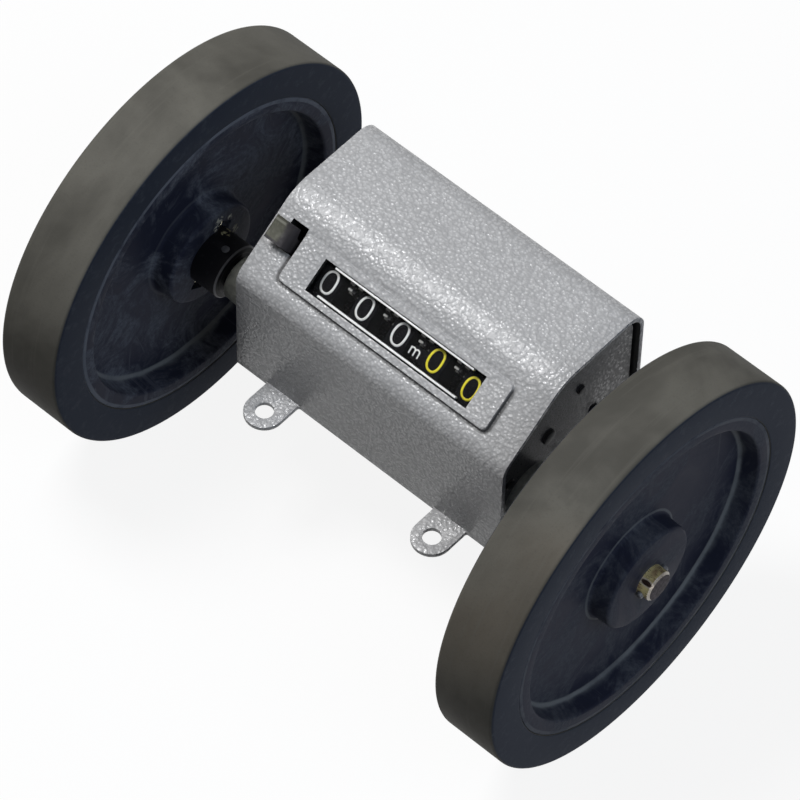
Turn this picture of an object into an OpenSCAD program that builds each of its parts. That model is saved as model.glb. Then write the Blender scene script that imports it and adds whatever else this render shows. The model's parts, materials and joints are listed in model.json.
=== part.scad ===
// Cable length counter. Two measuring wheels share one axle, which drives five number drums
// through a small gear train inside a painted sheet-steel housing on four screw-down ears.
// The origin is the middle of the axle: +X runs along it to the right-hand wheel,
// +Y points to the back of the housing and +Z up, square to the base plate.

/* [Wheels] */
// Outer diameter of a measuring wheel, three turns to the metre
wheel_d = 106.1; // [100:0.1:112]
// Width of a wheel across its tread
wheel_w = 17.2; // [15:0.1:19]
// Gap between the housing's end and a wheel's inner face
wheel_gap = 17.7; // [15:0.1:22]
// Radial thickness of the tyre
tyre_t = 9.55; // [7:0.05:12]
// Radius on the tyre's two outer edges
tyre_edge = 0.8; // [0.3:0.1:1.5]
// Radial thickness of the hub's rim between tyre and pocket
rim_t = 3.9; // [3:0.1:6]
// How much the pocket's wall narrows towards its floor
pocket_draft = 0.7; // [0.2:0.1:1.2]
// Depth of the pocket in the outer face
pocket_out = 5.4; // [4:0.1:7]
// Depth of the pocket in the inner face
pocket_in = 6.1; // [4:0.1:7]
// Diameter of the hub's boss
boss_d = 27.8; // [22:0.1:34]
// How far the boss stands out of the wheel's outer face
boss_proud = 0.4; // [0.1:0.1:2]
// How far the boss stops short of the wheel's inner face
boss_short = 1; // [0:0.1:2]

/* [Axle] */
// Diameter of the axle
axle_d = 8; // [7:0.1:8.4]
// How far the axle stands out of the hub's boss
axle_proud = 3.4; // [2.8:0.1:6]
// Diameter of the spacer collars between housing and wheels
collar_d = 14.6; // [12:0.1:18]
// Diameter of the cross pins that turn the wheels
drive_pin_d = 3; // [2:0.1:3.4]
// How far the cross pins stop short of the boss's rim
drive_pin_short = 4.8; // [2.5:0.1:5]
// Gap on each side of a cross pin in its slot
drive_pin_gap = 0.6; // [0.1:0.1:1]
// Diameter of the small pins that hold the wheels on
hold_pin_d = 1.8; // [1.2:0.1:2.2]
// How far the small pins stand out of the axle
hold_pin_proud = 0.8; // [0.4:0.1:2]
// Diameter of the pins that fix the collars
collar_pin_d = 2; // [1.5:0.1:2.5]

/* [Housing] */
// Length of the housing along the axle
body_l = 82; // [81:0.1:90]
// Depth of the housing from front to back
body_depth = 48.2; // [46:0.1:60]
// Distance from the axle forward to the front face
body_front = 10.5; // [10.2:0.1:14]
// Height of the axle above the base plate
axle_h = 14.6; // [13:0.1:20]
// Height that the window slope climbs from the front face to the top
slope_rise = 14.6; // [14:0.1:20]
// Tilt of the window slope from the horizontal
slope = 36; // [34:0.5:38]
// Sheet thickness of the cover
wall = 1.2; // [0.8:0.1:1.4]
// Outer radius where front face and window slope meet
front_r = 5; // [3:0.1:8]
// Outer radius where window slope and top meet
bend_r = 12; // [6:0.5:16]
// Outer radius where top and back meet
back_r = 6; // [3:0.1:8]
// How far the end plates sit inside the cover's ends
end_recess = 1; // [0.4:0.1:2]
// Thickness of the end plates
end_t = 2; // [1.5:0.1:2.5]
// Gap between an end plate and the cover's sheet
end_gap = 0.3; // [0:0.05:0.6]
// Further gap behind the end plates
end_back_gap = 1.2; // [0:0.1:2]
// Thickness of the base plate
base_t = 1.2; // [1:0.1:2]

/* [Ears] */
// Distance between the ear holes along the housing
ear_pitch = 52.5; // [40:0.1:64]
// Distance from the housing's faces to the ear holes
ear_reach = 6.45; // [6:0.05:12]
// Width of an ear
ear_w = 10; // [8:0.1:14]
// Diameter of an ear's hole
ear_hole = 4.6; // [3:0.1:5.5]

/* [Window] */
// Distance from the middle of an end digit to the end of the opening
win_end = 2.44; // [2:0.02:3]
// How much further the opening reaches past the last digit
win_more = 0.7; // [0:0.05:1]
// Height of the window opening along the slope
win_h = 8.7; // [7:0.1:9.4]
// Distance from the middle of the window down to the surround's lower edge
bezel_down = 6.45; // [5.5:0.05:7]
// Distance from the middle of the window up to the surround's upper edge
bezel_up = 6.65; // [5.5:0.05:8]
// Height of the surround at its lower edge
bezel_rise = 0.8; // [0.4:0.05:1.2]
// Thickness of the window pane
glass_t = 1; // [0.8:0.1:1.2]

/* [Counter] */
// Outer diameter of the number drums
drum_d = 22; // [20:0.1:22.2]
// Distance from one drum to the next
drum_pitch = 10.88; // [10.8:0.02:11]
// Width of a drum's number band
band_w = 5.6; // [5.2:0.1:5.8]
// Gap between the drums and the window pane
drum_gap = 0.3; // [0.2:0.05:0.6]
// Gap between the drums and the axle below them
axle_gap = 0.44; // [0.3:0.02:1]
// Direction from the axle to the drum shaft, as an angle from the horizontal
drum_angle = 64.62; // [60:0.1:68]
// Diameter of the shaft that carries the drums
drum_shaft_d = 4; // [3:0.1:4.2]
// Gap between the axle and the idler's large gear
idler_gap = 0.32; // [0.2:0.02:0.6]
// Gear module of the transfer pinions
carry_m = 0.55; // [0.5:0.01:0.56]
// Radial clearance of running bores
run_gap = 0.03; // [0.02:0.005:0.06]

/* [Reset] */
// Angle that the reset lever swings through
lever_range = 12; // [8:0.5:12]
// Lean of the lever's arm up the slope at rest
lever_lean = 9; // [7:0.5:10]
// Width of the lever's arm
arm_w = 3.6; // [2.4:0.1:4]
// Sheet thickness of the lever
lever_t = 1; // [0.8:0.1:1.4]
// Distance from the left end plate to the lever's right side
lever_in = 5.6; // [4.6:0.1:6]
// Width of the thumb tab along the axle
tab_w = 6.9; // [5:0.1:7.4]
// Length of the thumb tab along the slope
tab_l = 6; // [5:0.1:7]
// Height of the thumb tab's top above the slope
tab_rise = 3.3; // [3.2:0.1:4]
// Outer radius of the bend between tab and arm
tab_bend = 2.6; // [1.8:0.1:3]
// Distance from the drums' rims to the middle of the reset rod
comb_out = 6; // [5.8:0.1:7]

/* [Hidden] */
$fn = 64;

steel = [0.72, 0.72, 0.70];
zinc = [0.74, 0.70, 0.52];
brass = [0.78, 0.62, 0.30];
paint = [0.66, 0.66, 0.66];
black = [0.09, 0.09, 0.10];
rubber = [0.30, 0.29, 0.27];
nylon = [0.80, 0.79, 0.74];
dark_nylon = [0.14, 0.14, 0.14];
eps = 0.01;

// Wheel and axle places, measured from the middle of the axle
body_end = body_l / 2;
wheel_in = body_end + wheel_gap;
wheel_mid = wheel_in + wheel_w / 2;
wheel_out = wheel_in + wheel_w;
tyre_bore_r = wheel_d / 2 - tyre_t;
pocket_r = tyre_bore_r - rim_t;
boss_in = wheel_in + boss_short;
boss_out = wheel_out + boss_proud;
axle_r = axle_d / 2;
axle_end = boss_out + axle_proud;
axle_chamfer = 0.5;
drive_pin_in = 0.15;
drive_pin_x = boss_in + drive_pin_in + drive_pin_d / 2;
drive_pin_l = boss_d - 2 * drive_pin_short;
drive_pin_angle = 56;
hold_pin_gap = 0.2;
hold_pin_x = boss_out + hold_pin_gap + hold_pin_d / 2;
hold_pin_l = axle_d + 2 * hold_pin_proud;
hold_pin_angle = 10;

// Housing places
end_out = body_end - end_recess;
end_in = end_out - end_t;
nose_l = 8.8;
nose_round = 0.6;
tip_x = body_end + nose_l;
collar_gap = 1.2;
collar_x0 = tip_x + collar_gap;
collar_pin_x = collar_x0 + 2.7;
collar_pin_angle = 94;
bush_wall = 1;
bush_lip = 3.2;
bush_flange_t = 0.8;
bush_flange_w = 1.2;
bush_r = axle_r + bush_wall;
bush_end = tip_x - bush_lip;
tip_r = bush_r + 0.2;
root_r = bush_r + 1.4;
body_back = body_depth - body_front;
screw_r = 1.25;
screw_gap = 0.35;
cover_screw_up = 4.8;
cover_screw_z = cover_screw_up - axle_h;
flange_w = 7;
flange_t = 1.5;
flange_short = 8;
base_screw_x = end_in - flange_w / 2;
base_screw_y = [5, 23];
sink_depth = 0.9;
sink_w = 0.9;
rod_proud = 0.5;

// Drum shaft's place over the axle, and the window slope over the drums
drum_r = drum_d / 2;
drum_at = polar(axle_r + drum_r + axle_gap, drum_angle);
drum_y = drum_at.x;
drum_z = drum_at.y;
drum_depth = wall + glass_t + drum_gap + drum_r;
win_s = (drum_y + body_front - drum_depth * sin(slope)) / cos(slope);
face_z = drum_z + drum_depth * cos(slope) - win_s * sin(slope);
body_top = face_z + slope_rise;
win_w = 4 * drum_pitch + 2 * win_end;
pane_over = 2.2;
pane_over_s = 1.6;
shaft_r = drum_shaft_d / 2;
hub_r = shaft_r + 1;
cover_screw_in = 10;
cover_screw_x = end_in - cover_screw_in;

// Tooth counts. The axle turns the last drum 10/3 turns for each turn of its own.
axle_teeth = 25;
idler_in_teeth = 15;
idler_out_teeth = 24;
drum_pinion_teeth = 12;
drum_teeth = 20;
carry_teeth = 8;
lever_teeth = 24;
comb_teeth = 16;
tooth_tip = 0.8;
tooth_root = 1.1;
gear_w = 2;
gear_over = 0.2;
hub_wall = 1.6;

// Module of the train, at which the idler's large gear just clears the axle,
// and the idler's place, from its two centre distances
train_m = (axle_r + idler_gap) / ((axle_teeth + idler_in_teeth - idler_out_teeth) / 2 - tooth_tip);
idler_to_axle = train_m * (axle_teeth + idler_in_teeth) / 2;
idler_to_drum = train_m * (idler_out_teeth + drum_pinion_teeth) / 2;
idler_at = meet([0, 0], idler_to_axle, drum_at, idler_to_drum);
stud_r = 1.5;
stud_head_t = 0.8;
stud_head_w = 1.1;

// Positions along the drum shaft, from a drum's middle to the next drum's band
cam_x0 = band_w / 2;
cam_w = 1;
drum_gear_x0 = cam_x0 + cam_w;
drum_gear_w = 1.2;
carrier_t = 0.8;
side_gap = 0.3;
carrier_x0 = drum_gear_x0 + drum_gear_w + side_gap;
next_band = drum_pitch - band_w / 2;
lock_w = 0.9;
carry_x0 = drum_gear_x0 + 0.1;
carry_x1 = next_band - side_gap;

// Transfer pinions sit just above the window's middle line
carry_gap = carry_m * (drum_teeth + carry_teeth) / 2;
carry_angle = 90 + slope - 22;
carry_at = drum_at + polar(carry_gap, carry_angle);
journal_r = 1.35;
journal_gap = 0.05;
lock_gap = 0.75;
lock_r = carry_gap - carry_m * (carry_teeth / 2 + tooth_tip) - lock_gap;
carry_tooth = 0.4;
carry_tooth_w = 0.7;
fork_w = 5.2;
fork_over = 1.1;
fork_gap = 0.2;
strap_w = 4;

// Fixed rods between the end plates
carrier_rod_r = 1.25;
carrier_rod_gap = drum_r + carrier_rod_r + 0.75;
carrier_rod_angle = 35;
carrier_rod_at = drum_at + polar(carrier_rod_gap, carrier_rod_angle);
tie_r = 1.5;
tie_at = [-6.5, 9];
comb_angle = -20;
comb_gap = drum_r + comb_out;
comb_at = drum_at + polar(comb_gap, comb_angle);
reset_rod_r = 1.5;
comb_m = 2 * comb_gap / (lever_teeth + comb_teeth);
comb_range = lever_range * lever_teeth / comb_teeth;
lever_sector = [22, 37];
comb_sector = [52, 34];
comb_r = 2.6;
cam_low = 2.9;
cam_high = 4.8;
finger_w = 0.6;
finger_l = comb_gap - cam_high - side_gap;
lever_x = end_in - lever_in;

// Lever slot in the cover
slot_gap = 0.4;
slot_lo = win_s + drum_depth * tan(lever_lean) - arm_w / 2 / cos(lever_lean) - slot_gap;
slot_hi = win_s + drum_depth * tan(lever_lean + lever_range)
    + arm_w / 2 / cos(lever_lean + lever_range) + slot_gap;
slot_w = 4.8;
tab_lo = slot_lo + 0.5;
bezel_w = 2 * (lever_x - slot_gap);
bezel_lo = win_s - bezel_down;
bezel_hi = win_s + bezel_up;

function polar(r, a) = [r * cos(a), r * sin(a)];

// Angle of the line from point p to point q
function bearing(p, q) = atan2(q.y - p.y, q.x - p.x);

// The point at distance a from p and b from q, on the side towards the back
function meet(p, a, q, b) =
    let (d = norm(q - p), along = (a * a - b * b + d * d) / (2 * d), off = sqrt(a * a - along * along),
         e = (q - p) / d)
    p + along * e + off * [e.y, -e.x];

// One corner of an outline, rounded to radius r between the points before and after it
function corner_arc(before, p, after, r, n) =
    r <= 0 ? [p] :
    let (u = (before - p) / norm(before - p), v = (after - p) / norm(after - p),
         half = acos(u * v) / 2,
         centre = p + (u + v) / norm(u + v) * r / sin(half),
         s = p + u * r / tan(half) - centre,
         e = p + v * r / tan(half) - centre,
         a0 = atan2(s.y, s.x),
         turn = (atan2(e.y, e.x) - a0 + 540) % 360 - 180)
    [for (k = [0 : n]) centre + polar(r, a0 + turn * k / n)];

// A closed outline with corner i rounded to radius r[i]
function rounded(p, r, n = 8) =
    [for (i = [0 : len(p) - 1])
        each corner_arc(p[(i + len(p) - 1) % len(p)], p[i], p[(i + 1) % len(p)], r[i], n)];

// The housing's end outline as [y, z], drawn in by t on every side but the bottom,
// which can be lowered by drop to cut right through, and further in by more at the back
function body_outline(t, drop = 0, more = 0) =
    let (front = -body_front + t, back = body_back - t - more, top = body_top - t, foot = -axle_h - drop,
         knee = face_z + t * (sin(slope) - 1) / cos(slope),
         crest = front + (top - knee) / tan(slope))
    rounded([[front, foot], [back, foot], [back, top], [crest, top], [front, knee]],
            [0, 0, back_r - t, bend_r - t, front_r - t]);

// Middle of drum i along the axle, the highest digit first
function drum_x(i) = (i - 3) * drum_pitch + 0.2;

// Extrudes a [y, z] outline from x0 to x1
module along_x(x0, x1) {
    translate([x0, 0, 0]) rotate([90, 0, 90]) linear_extrude(x1 - x0) children();
}

// A round bar along X at [y, z], from x0 to x1
module bar(at, x0, x1, r, r_end = undef) {
    translate([x0, at.x, at.y]) rotate([0, 90, 0])
        cylinder(h = x1 - x0, r1 = r, r2 = is_undef(r_end) ? r : r_end);
}

// Frame of the window slope: X, distance up the slope, height above it
module on_slope() {
    translate([0, -body_front, face_z]) rotate([slope, 0, 0]) children();
}

// Spur gear outline with thin straight-sided teeth, one of them at angle phase
module gear_2d(teeth, m, phase) {
    r = teeth * m / 2;
    pitch = 360 / teeth;
    polygon([for (i = [0 : teeth - 1]) each [
        polar(r - tooth_root * m, phase + (i - 0.30) * pitch),
        polar(r, phase + (i - 0.20) * pitch),
        polar(r + tooth_tip * m, phase + (i - 0.09) * pitch),
        polar(r + tooth_tip * m, phase + (i + 0.09) * pitch),
        polar(r, phase + (i + 0.20) * pitch),
        polar(r - tooth_root * m, phase + (i + 0.30) * pitch)]]);
}

// A gear at [y, z] from x0 to x1
module gear(at, x0, x1, teeth, m, phase) {
    along_x(x0, x1) translate(at) gear_2d(teeth, m, phase);
}

// A wedge from angle a0 to a1, to keep a part of a gear as a sector
module wedge_2d(r, a0, a1) {
    polygon(concat([[0, 0]], [for (k = [0 : 6]) polar(r, a0 + (a1 - a0) * k / 6)]));
}

// Repeats at +X and, mirrored, at -X
module both_ends() {
    children();
    mirror([1, 0, 0]) children();
}

// One side of the axle: the right-hand parts are drawn, the left-hand ones mirrored
module on_side(left) {
    if (left) mirror([1, 0, 0]) children();
    else children();
}

// Sheet base with four ears, bent-up tabs at the back and countersunk screw holes
module base_plate() {
    ear_r = ear_w / 2;
    root = 0.6;
    tab_h = 10;
    color(paint) translate([0, 0, -axle_h - base_t]) difference() {
        union() {
            linear_extrude(base_t) {
                translate([-body_end, -body_front]) square([body_l, body_depth]);
                for (x = [-ear_pitch / 2, ear_pitch / 2], end = [0, 1])
                    translate([x, end == 0 ? -body_front : body_back]) mirror([0, 1 - end, 0]) difference() {
                        union() {
                            translate([-ear_r, -1]) square([ear_w, ear_reach + 1]);
                            translate([0, ear_reach]) circle(r = ear_r);
                            for (s = [-1, 1]) mirror([s < 0 ? 1 : 0, 0, 0]) difference() {
                                translate([ear_r - eps, -eps]) square([root, root]);
                                translate([ear_r + root, root]) circle(r = root);
                            }
                        }
                        translate([0, ear_reach]) circle(d = ear_hole);
                    }
            }
            for (x = [-cover_screw_x, cover_screw_x])
                translate([x - ear_w / 2, body_back - wall - base_t, 0]) cube([ear_w, base_t, tab_h]);
        }
        for (x = [-base_screw_x, base_screw_x], y = base_screw_y)
            translate([x, y, -eps]) {
                cylinder(h = base_t + 1, r = screw_r + screw_gap);
                cylinder(h = sink_depth, r1 = screw_r + screw_gap + sink_w, r2 = screw_r + screw_gap);
            }
        for (x = [-cover_screw_x, cover_screw_x])
            translate([x, body_back - wall - base_t - 1, base_t + cover_screw_z + axle_h])
                rotate([-90, 0, 0]) cylinder(h = base_t + 2, r = screw_r);
    }
}

// Raised flat round the window, highest at its lower edge
module bezel() {
    on_slope() intersection() {
        rotate([90, 0, 90]) translate([0, 0, -bezel_w / 2]) linear_extrude(bezel_w)
            polygon([[bezel_lo, -wall / 2], [bezel_hi, -wall / 2], [bezel_hi, 0.1], [bezel_lo, bezel_rise]]);
        translate([0, 0, -wall]) linear_extrude(wall + bezel_rise)
            polygon(rounded([[-bezel_w / 2, bezel_lo], [bezel_w / 2, bezel_lo],
                             [bezel_w / 2, bezel_hi], [-bezel_w / 2, bezel_hi]], [1.5, 1.5, 1, 1], 4));
    }
}

// Wrap-round sheet cover, open at both ends
module cover() {
    color(paint) difference() {
        union() {
            along_x(-body_end, body_end) difference() {
                polygon(body_outline(0));
                polygon(body_outline(wall, 1));
            }
            bezel();
        }
        on_slope() {
            translate([-win_w / 2, win_s - win_h / 2, -wall - 1])
                cube([win_w + win_more, win_h, wall + bezel_rise + 2]);
            translate([-lever_x - slot_w + slot_gap, slot_lo, -wall - 1])
                cube([slot_w, slot_hi - slot_lo, wall + bezel_rise + 2]);
        }
        for (x = [-cover_screw_x, cover_screw_x])
            translate([x, body_back - wall - 1, cover_screw_z]) rotate([-90, 0, 0])
                cylinder(h = wall + 2, r = screw_r + screw_gap);
    }
}

// End plate with its bearing boss and a foot flange, drawn for the right-hand end
module end_plate(left) {
    color(paint) on_side(left) difference() {
        union() {
            along_x(end_in, end_out) polygon(body_outline(wall + end_gap, 0, end_back_gap));
            bar([0, 0], end_out - eps, tip_x - nose_round, root_r, tip_r + nose_round);
            bar([0, 0], tip_x - nose_round, tip_x, tip_r + nose_round, tip_r);
            translate([end_in - flange_w, 0, -axle_h])
                cube([flange_w + eps, body_back - flange_short, flange_t]);
        }
        bar([0, 0], end_in - 1, bush_end, bush_r);
        bar([0, 0], end_in, tip_x + 1, axle_r + bush_wall / 6);
        bar(drum_at, end_in - 1, end_out + 1, shaft_r);
        bar(carrier_rod_at, end_in - 1, end_out + 1, carrier_rod_r);
        bar(comb_at, end_in - 1, end_out + 1, reset_rod_r);
        bar(tie_at, end_in - 1, end_out + 1, tie_r);
        if (!left) bar(idler_at, end_in - 1, end_out + 1, stud_r);
        for (y = base_screw_y)
            translate([base_screw_x, y, -axle_h - 1]) cylinder(h = flange_t + 2, r = screw_r);
    }
}

module end_plate_left() { end_plate(true); }
module end_plate_right() { end_plate(false); }

// Clear pane behind the window opening
module window_pane() {
    color([0.75, 0.80, 0.82, 0.35]) on_slope()
        translate([-win_w / 2 - pane_over, win_s - win_h / 2 - pane_over_s, -wall - glass_t])
            cube([win_w + win_more + 2 * pane_over, win_h + 2 * pane_over_s, glass_t]);
}

// Two bright strips that hold the pane along the opening's long edges
module pane_clips() {
    clip_l = win_w - 6.1;
    clip_w = 0.8;
    color([0.85, 0.85, 0.85]) on_slope()
        for (s = [win_s - win_h / 2, win_s + win_h / 2 - clip_w])
            translate([-clip_l / 2, s, -wall]) cube([clip_l, clip_w, wall * 0.6]);
}

// Flanged plain bearing in the end plate's boss
module bearing_bush(left) {
    color(brass) on_side(left) difference() {
        union() {
            bar([0, 0], end_in - bush_flange_t, bush_end, bush_r);
            bar([0, 0], end_in - bush_flange_t, end_in, bush_r + bush_flange_w);
        }
        bar([0, 0], end_in - bush_flange_t - 1, bush_end + 1, axle_r + run_gap);
    }
}

module bearing_bush_left() { bearing_bush(true); }
module bearing_bush_right() { bearing_bush(false); }

// Through axle with chamfered ends and cross holes for the pins
module axle() {
    color(zinc) difference() {
        union() {
            bar([0, 0], -axle_end + axle_chamfer, axle_end - axle_chamfer, axle_r);
            both_ends() bar([0, 0], axle_end - axle_chamfer, axle_end, axle_r, axle_r - axle_chamfer);
        }
        both_ends() {
            cross_pin(collar_pin_x, collar_pin_angle, collar_pin_d, axle_d + 2);
            cross_pin(drive_pin_x, drive_pin_angle, drive_pin_d, axle_d + 2);
            cross_pin(hold_pin_x, hold_pin_angle, hold_pin_d, axle_d + 2);
        }
    }
}

// A pin across the axle at x, turned to an angle in the YZ plane
module cross_pin(x, angle, d, l) {
    translate([x, 0, 0]) rotate([angle, 0, 0]) rotate([90, 0, 0]) cylinder(h = l, d = d, center = true);
}

module drive_pins() {
    color(zinc) both_ends() cross_pin(drive_pin_x, drive_pin_angle, drive_pin_d, drive_pin_l);
}

module hold_pins() {
    color(steel) both_ends() cross_pin(hold_pin_x, hold_pin_angle, hold_pin_d, hold_pin_l);
}

// Spacer collar between the housing's boss and the wheel
module collar(left) {
    chamfer = 0.4;
    color(black) on_side(left) difference() {
        union() {
            bar([0, 0], collar_x0, collar_x0 + chamfer, collar_d / 2 - chamfer, collar_d / 2);
            bar([0, 0], collar_x0 + chamfer, boss_in, collar_d / 2);
        }
        bar([0, 0], collar_x0 - 1, boss_in + 1, axle_r);
        cross_pin(collar_pin_x, collar_pin_angle, collar_pin_d, collar_d + 1);
    }
}

module collar_left() { collar(true); }
module collar_right() { collar(false); }

// Pins through collar and axle, flush with the collar
module collar_pins() {
    color(steel) both_ends() cross_pin(collar_pin_x, collar_pin_angle, collar_pin_d, collar_d - 0.1);
}

// Moulded hub: rim, web, boss and a slot for the drive pin, drawn for the right-hand wheel
module wheel_hub(left) {
    half = wheel_w / 2;
    face = half - 0.15;
    rim = tyre_bore_r;
    mouth = pocket_r;
    floor_r = mouth - pocket_draft;
    slot_depth = drive_pin_in + drive_pin_d + 0.2;
    boss = boss_d / 2;
    floor_out = half - pocket_out;
    floor_in = -half + pocket_in;
    color([0.14, 0.16, 0.19]) on_side(left) translate([wheel_mid, 0, 0]) difference() {
        rotate([0, 90, 0]) rotate_extrude($fn = 128) polygon(rounded(
            [[axle_r, boss_in - wheel_mid], [axle_r, boss_out - wheel_mid], [boss, boss_out - wheel_mid],
             [boss + 0.2, floor_out], [floor_r, floor_out], [mouth, face], [rim, face],
             [rim, -face], [mouth, -face], [floor_r, floor_in], [boss + 0.2, floor_in],
             [boss, boss_in - wheel_mid]],
            [0, 0, 0.8, 1, 1, 0.5, 0.3, 0.3, 0.5, 1, 1, 0.8], 4));
        translate([boss_in - wheel_mid - 1, 0, 0]) rotate([drive_pin_angle, 0, 0])
            translate([0, -drive_pin_l / 2 - drive_pin_gap, -drive_pin_d / 2 - drive_pin_gap])
                cube([slot_depth + 1, drive_pin_l + 2 * drive_pin_gap, drive_pin_d + 2 * drive_pin_gap]);
    }
}

module wheel_hub_left() { wheel_hub(true); }
module wheel_hub_right() { wheel_hub(false); }

// Rubber tyre with a plain tread
module tyre(left) {
    half = wheel_w / 2;
    color(rubber) on_side(left) translate([wheel_mid, 0, 0]) rotate([0, 90, 0])
        rotate_extrude($fn = 128) polygon(rounded(
            [[tyre_bore_r, -half], [wheel_d / 2, -half], [wheel_d / 2, half], [tyre_bore_r, half]],
            [0.5, tyre_edge, tyre_edge, 0.5], 4));
}

module tyre_left() { tyre(true); }
module tyre_right() { tyre(false); }

// Gear on the axle, its tooth pointing at the idler
drive_gear_x = end_in - bush_flange_t - side_gap - gear_w;
drive_hub_l = 1;
module drive_gear() {
    color(brass) difference() {
        union() {
            gear([0, 0], drive_gear_x, drive_gear_x + gear_w, axle_teeth, train_m, bearing([0, 0], idler_at));
            bar([0, 0], drive_gear_x - drive_hub_l, drive_gear_x, axle_r + hub_wall);
        }
        bar([0, 0], drive_gear_x - drive_hub_l - 1, drive_gear_x + gear_w + 1, axle_r);
    }
}

// Headed stud in the right-hand end plate
idler_x0 = drive_gear_x - drive_hub_l - side_gap - gear_w;
module idler_stud() {
    color(steel) union() {
        bar(idler_at, idler_x0 - side_gap, end_out + rod_proud, stud_r);
        bar(idler_at, idler_x0 - side_gap - stud_head_t, idler_x0 - side_gap, stud_r + stud_head_w);
        bar(idler_at, end_in - side_gap, end_in, stud_r + stud_head_w);
    }
}

// Compound idler: the small gear meets the axle's gear, the large one the drum pinion
module idler_gear() {
    color(nylon) difference() {
        union() {
            gear(idler_at, idler_x0, idler_x0 + gear_w, idler_out_teeth, train_m, bearing(idler_at, drum_at));
            bar(idler_at, idler_x0, end_in - 2 * side_gap, train_m * (idler_in_teeth / 2 - tooth_root));
            gear(idler_at, drive_gear_x - gear_over, drive_gear_x + gear_w + gear_over,
                 idler_in_teeth, train_m, bearing(idler_at, [0, 0]) + 180 / idler_in_teeth);
        }
        bar(idler_at, idler_x0 - 1, end_in, stud_r + run_gap);
    }
}

module drum_shaft() {
    color(steel) bar(drum_at, -end_out - rod_proud, end_out + rod_proud, shaft_r);
}

// Pinion that turns the last drum, with a flange against the drum's hub
drum_end = drum_gear_x0 + 0.4;
drum_flange_t = 1;
drum_flange_w = 2.6;
drum_sleeve_t = 0.6;
module drum_pinion() {
    x0 = drum_x(5) + drum_end;
    color(nylon) difference() {
        union() {
            bar(drum_at, x0, x0 + drum_flange_t, shaft_r + drum_flange_w);
            bar(drum_at, x0, end_in - side_gap, shaft_r + drum_sleeve_t);
            gear(drum_at, idler_x0 - gear_over, idler_x0 + gear_w + gear_over,
                 drum_pinion_teeth, train_m, bearing(drum_at, idler_at) + 180 / drum_pinion_teeth);
        }
        bar(drum_at, x0 - 1, end_in, shaft_r + run_gap);
    }
}

// Heart-shaped reset cam outline, lowest towards the reset rod
module heart_2d() {
    cam_rise = cam_high - cam_low;
    polygon([for (a = [-175 : 10 : 175]) polar(cam_low + cam_rise * abs(a) / 180, comb_angle + a)]);
}

// Number drum i: hollow band, heart cam, and gear towards the next lower drum
drum_rim = 1.4;
drum_web = 2;
drum_core = 0.6;
module number_drum(i) {
    x = drum_x(i);
    left_end = i == 1 ? -lever_x + side_gap : x - drum_pitch + carrier_x0 + carrier_t + side_gap;
    color(black) difference() {
        union() {
            bar(drum_at, x - band_w / 2, x + band_w / 2, drum_r);
            bar(drum_at, left_end, x, hub_r);
            along_x(x + cam_x0 - eps, x + drum_gear_x0 + eps) translate(drum_at) heart_2d();
            if (i < 5)
                gear(drum_at, x + drum_gear_x0, x + drum_gear_x0 + drum_gear_w,
                     drum_teeth, carry_m, carry_angle);
            else
                bar(drum_at, x + drum_gear_x0, x + drum_end, hub_r);
            if (i > 1) {
                bar(drum_at, x - band_w / 2 - lock_w, x, lock_r);
                for (a = [-9, 9])
                    along_x(x - band_w / 2 - lock_w, x - band_w / 2 + eps) translate(drum_at)
                        rotate(carry_angle + 150 + a) translate([0, -carry_tooth_w / 2])
                            square([lock_r + carry_tooth, carry_tooth_w]);
            }
        }
        difference() {
            bar(drum_at, x - band_w / 2 - eps, x + band_w / 2 - drum_web, drum_r - drum_rim);
            bar(drum_at, x - band_w, x + band_w, lock_r + drum_core);
        }
        bar(drum_at, left_end - 1, x + drum_pitch, shaft_r + run_gap);
    }
}

module number_drum_1() { number_drum(1); }
module number_drum_2() { number_drum(2); }
module number_drum_3() { number_drum(3); }
module number_drum_4() { number_drum(4); }
module number_drum_5() { number_drum(5); }

// Transfer pinion i: eight teeth for the higher drum, four for the lower, and a journal between
module carry_pinion(i) {
    x = drum_x(i);
    x0 = x + carrier_x0 - fork_gap;
    x1 = x + carrier_x0 + carrier_t + fork_gap;
    tip = carry_m * (carry_teeth / 2 + tooth_tip);
    tooth_w = 0.9 * carry_m;
    phase = carry_angle + 180 + 180 / carry_teeth;
    color(dark_nylon) {
        gear(carry_at, x + carry_x0, x0, carry_teeth, carry_m, phase);
        bar(carry_at, x0, x1, journal_r);
        along_x(x1, x + carry_x1) translate(carry_at) union() {
            circle(r = carry_m * (carry_teeth / 2 - tooth_root));
            for (k = [0 : 3])
                rotate(phase + 90 * k) translate([0, -tooth_w / 2]) square([tip, tooth_w]);
        }
    }
}

module carry_pinion_1() { carry_pinion(1); }
module carry_pinion_2() { carry_pinion(2); }
module carry_pinion_3() { carry_pinion(3); }
module carry_pinion_4() { carry_pinion(4); }

// Fixed plate between two drums that carries a transfer pinion in an open fork
module pinion_carrier(i) {
    x = drum_x(i) + carrier_x0;
    fork_l = carry_gap + fork_over;
    color(black) along_x(x, x + carrier_t) difference() {
        union() {
            translate(drum_at) {
                circle(r = shaft_r + hub_wall);
                rotate(carry_angle) translate([0, -fork_w / 2]) square([fork_l, fork_w]);
                rotate(carrier_rod_angle) translate([0, -strap_w / 2]) square([carrier_rod_gap, strap_w]);
            }
            translate(carrier_rod_at) circle(r = carrier_rod_r + 1.2);
        }
        translate(drum_at) circle(r = shaft_r);
        translate(carrier_rod_at) circle(r = carrier_rod_r);
        translate(carry_at) {
            circle(r = journal_r + journal_gap);
            rotate(carry_angle) translate([0, -journal_r - journal_gap])
                square([carry_gap, 2 * (journal_r + journal_gap)]);
        }
    }
}

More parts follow.
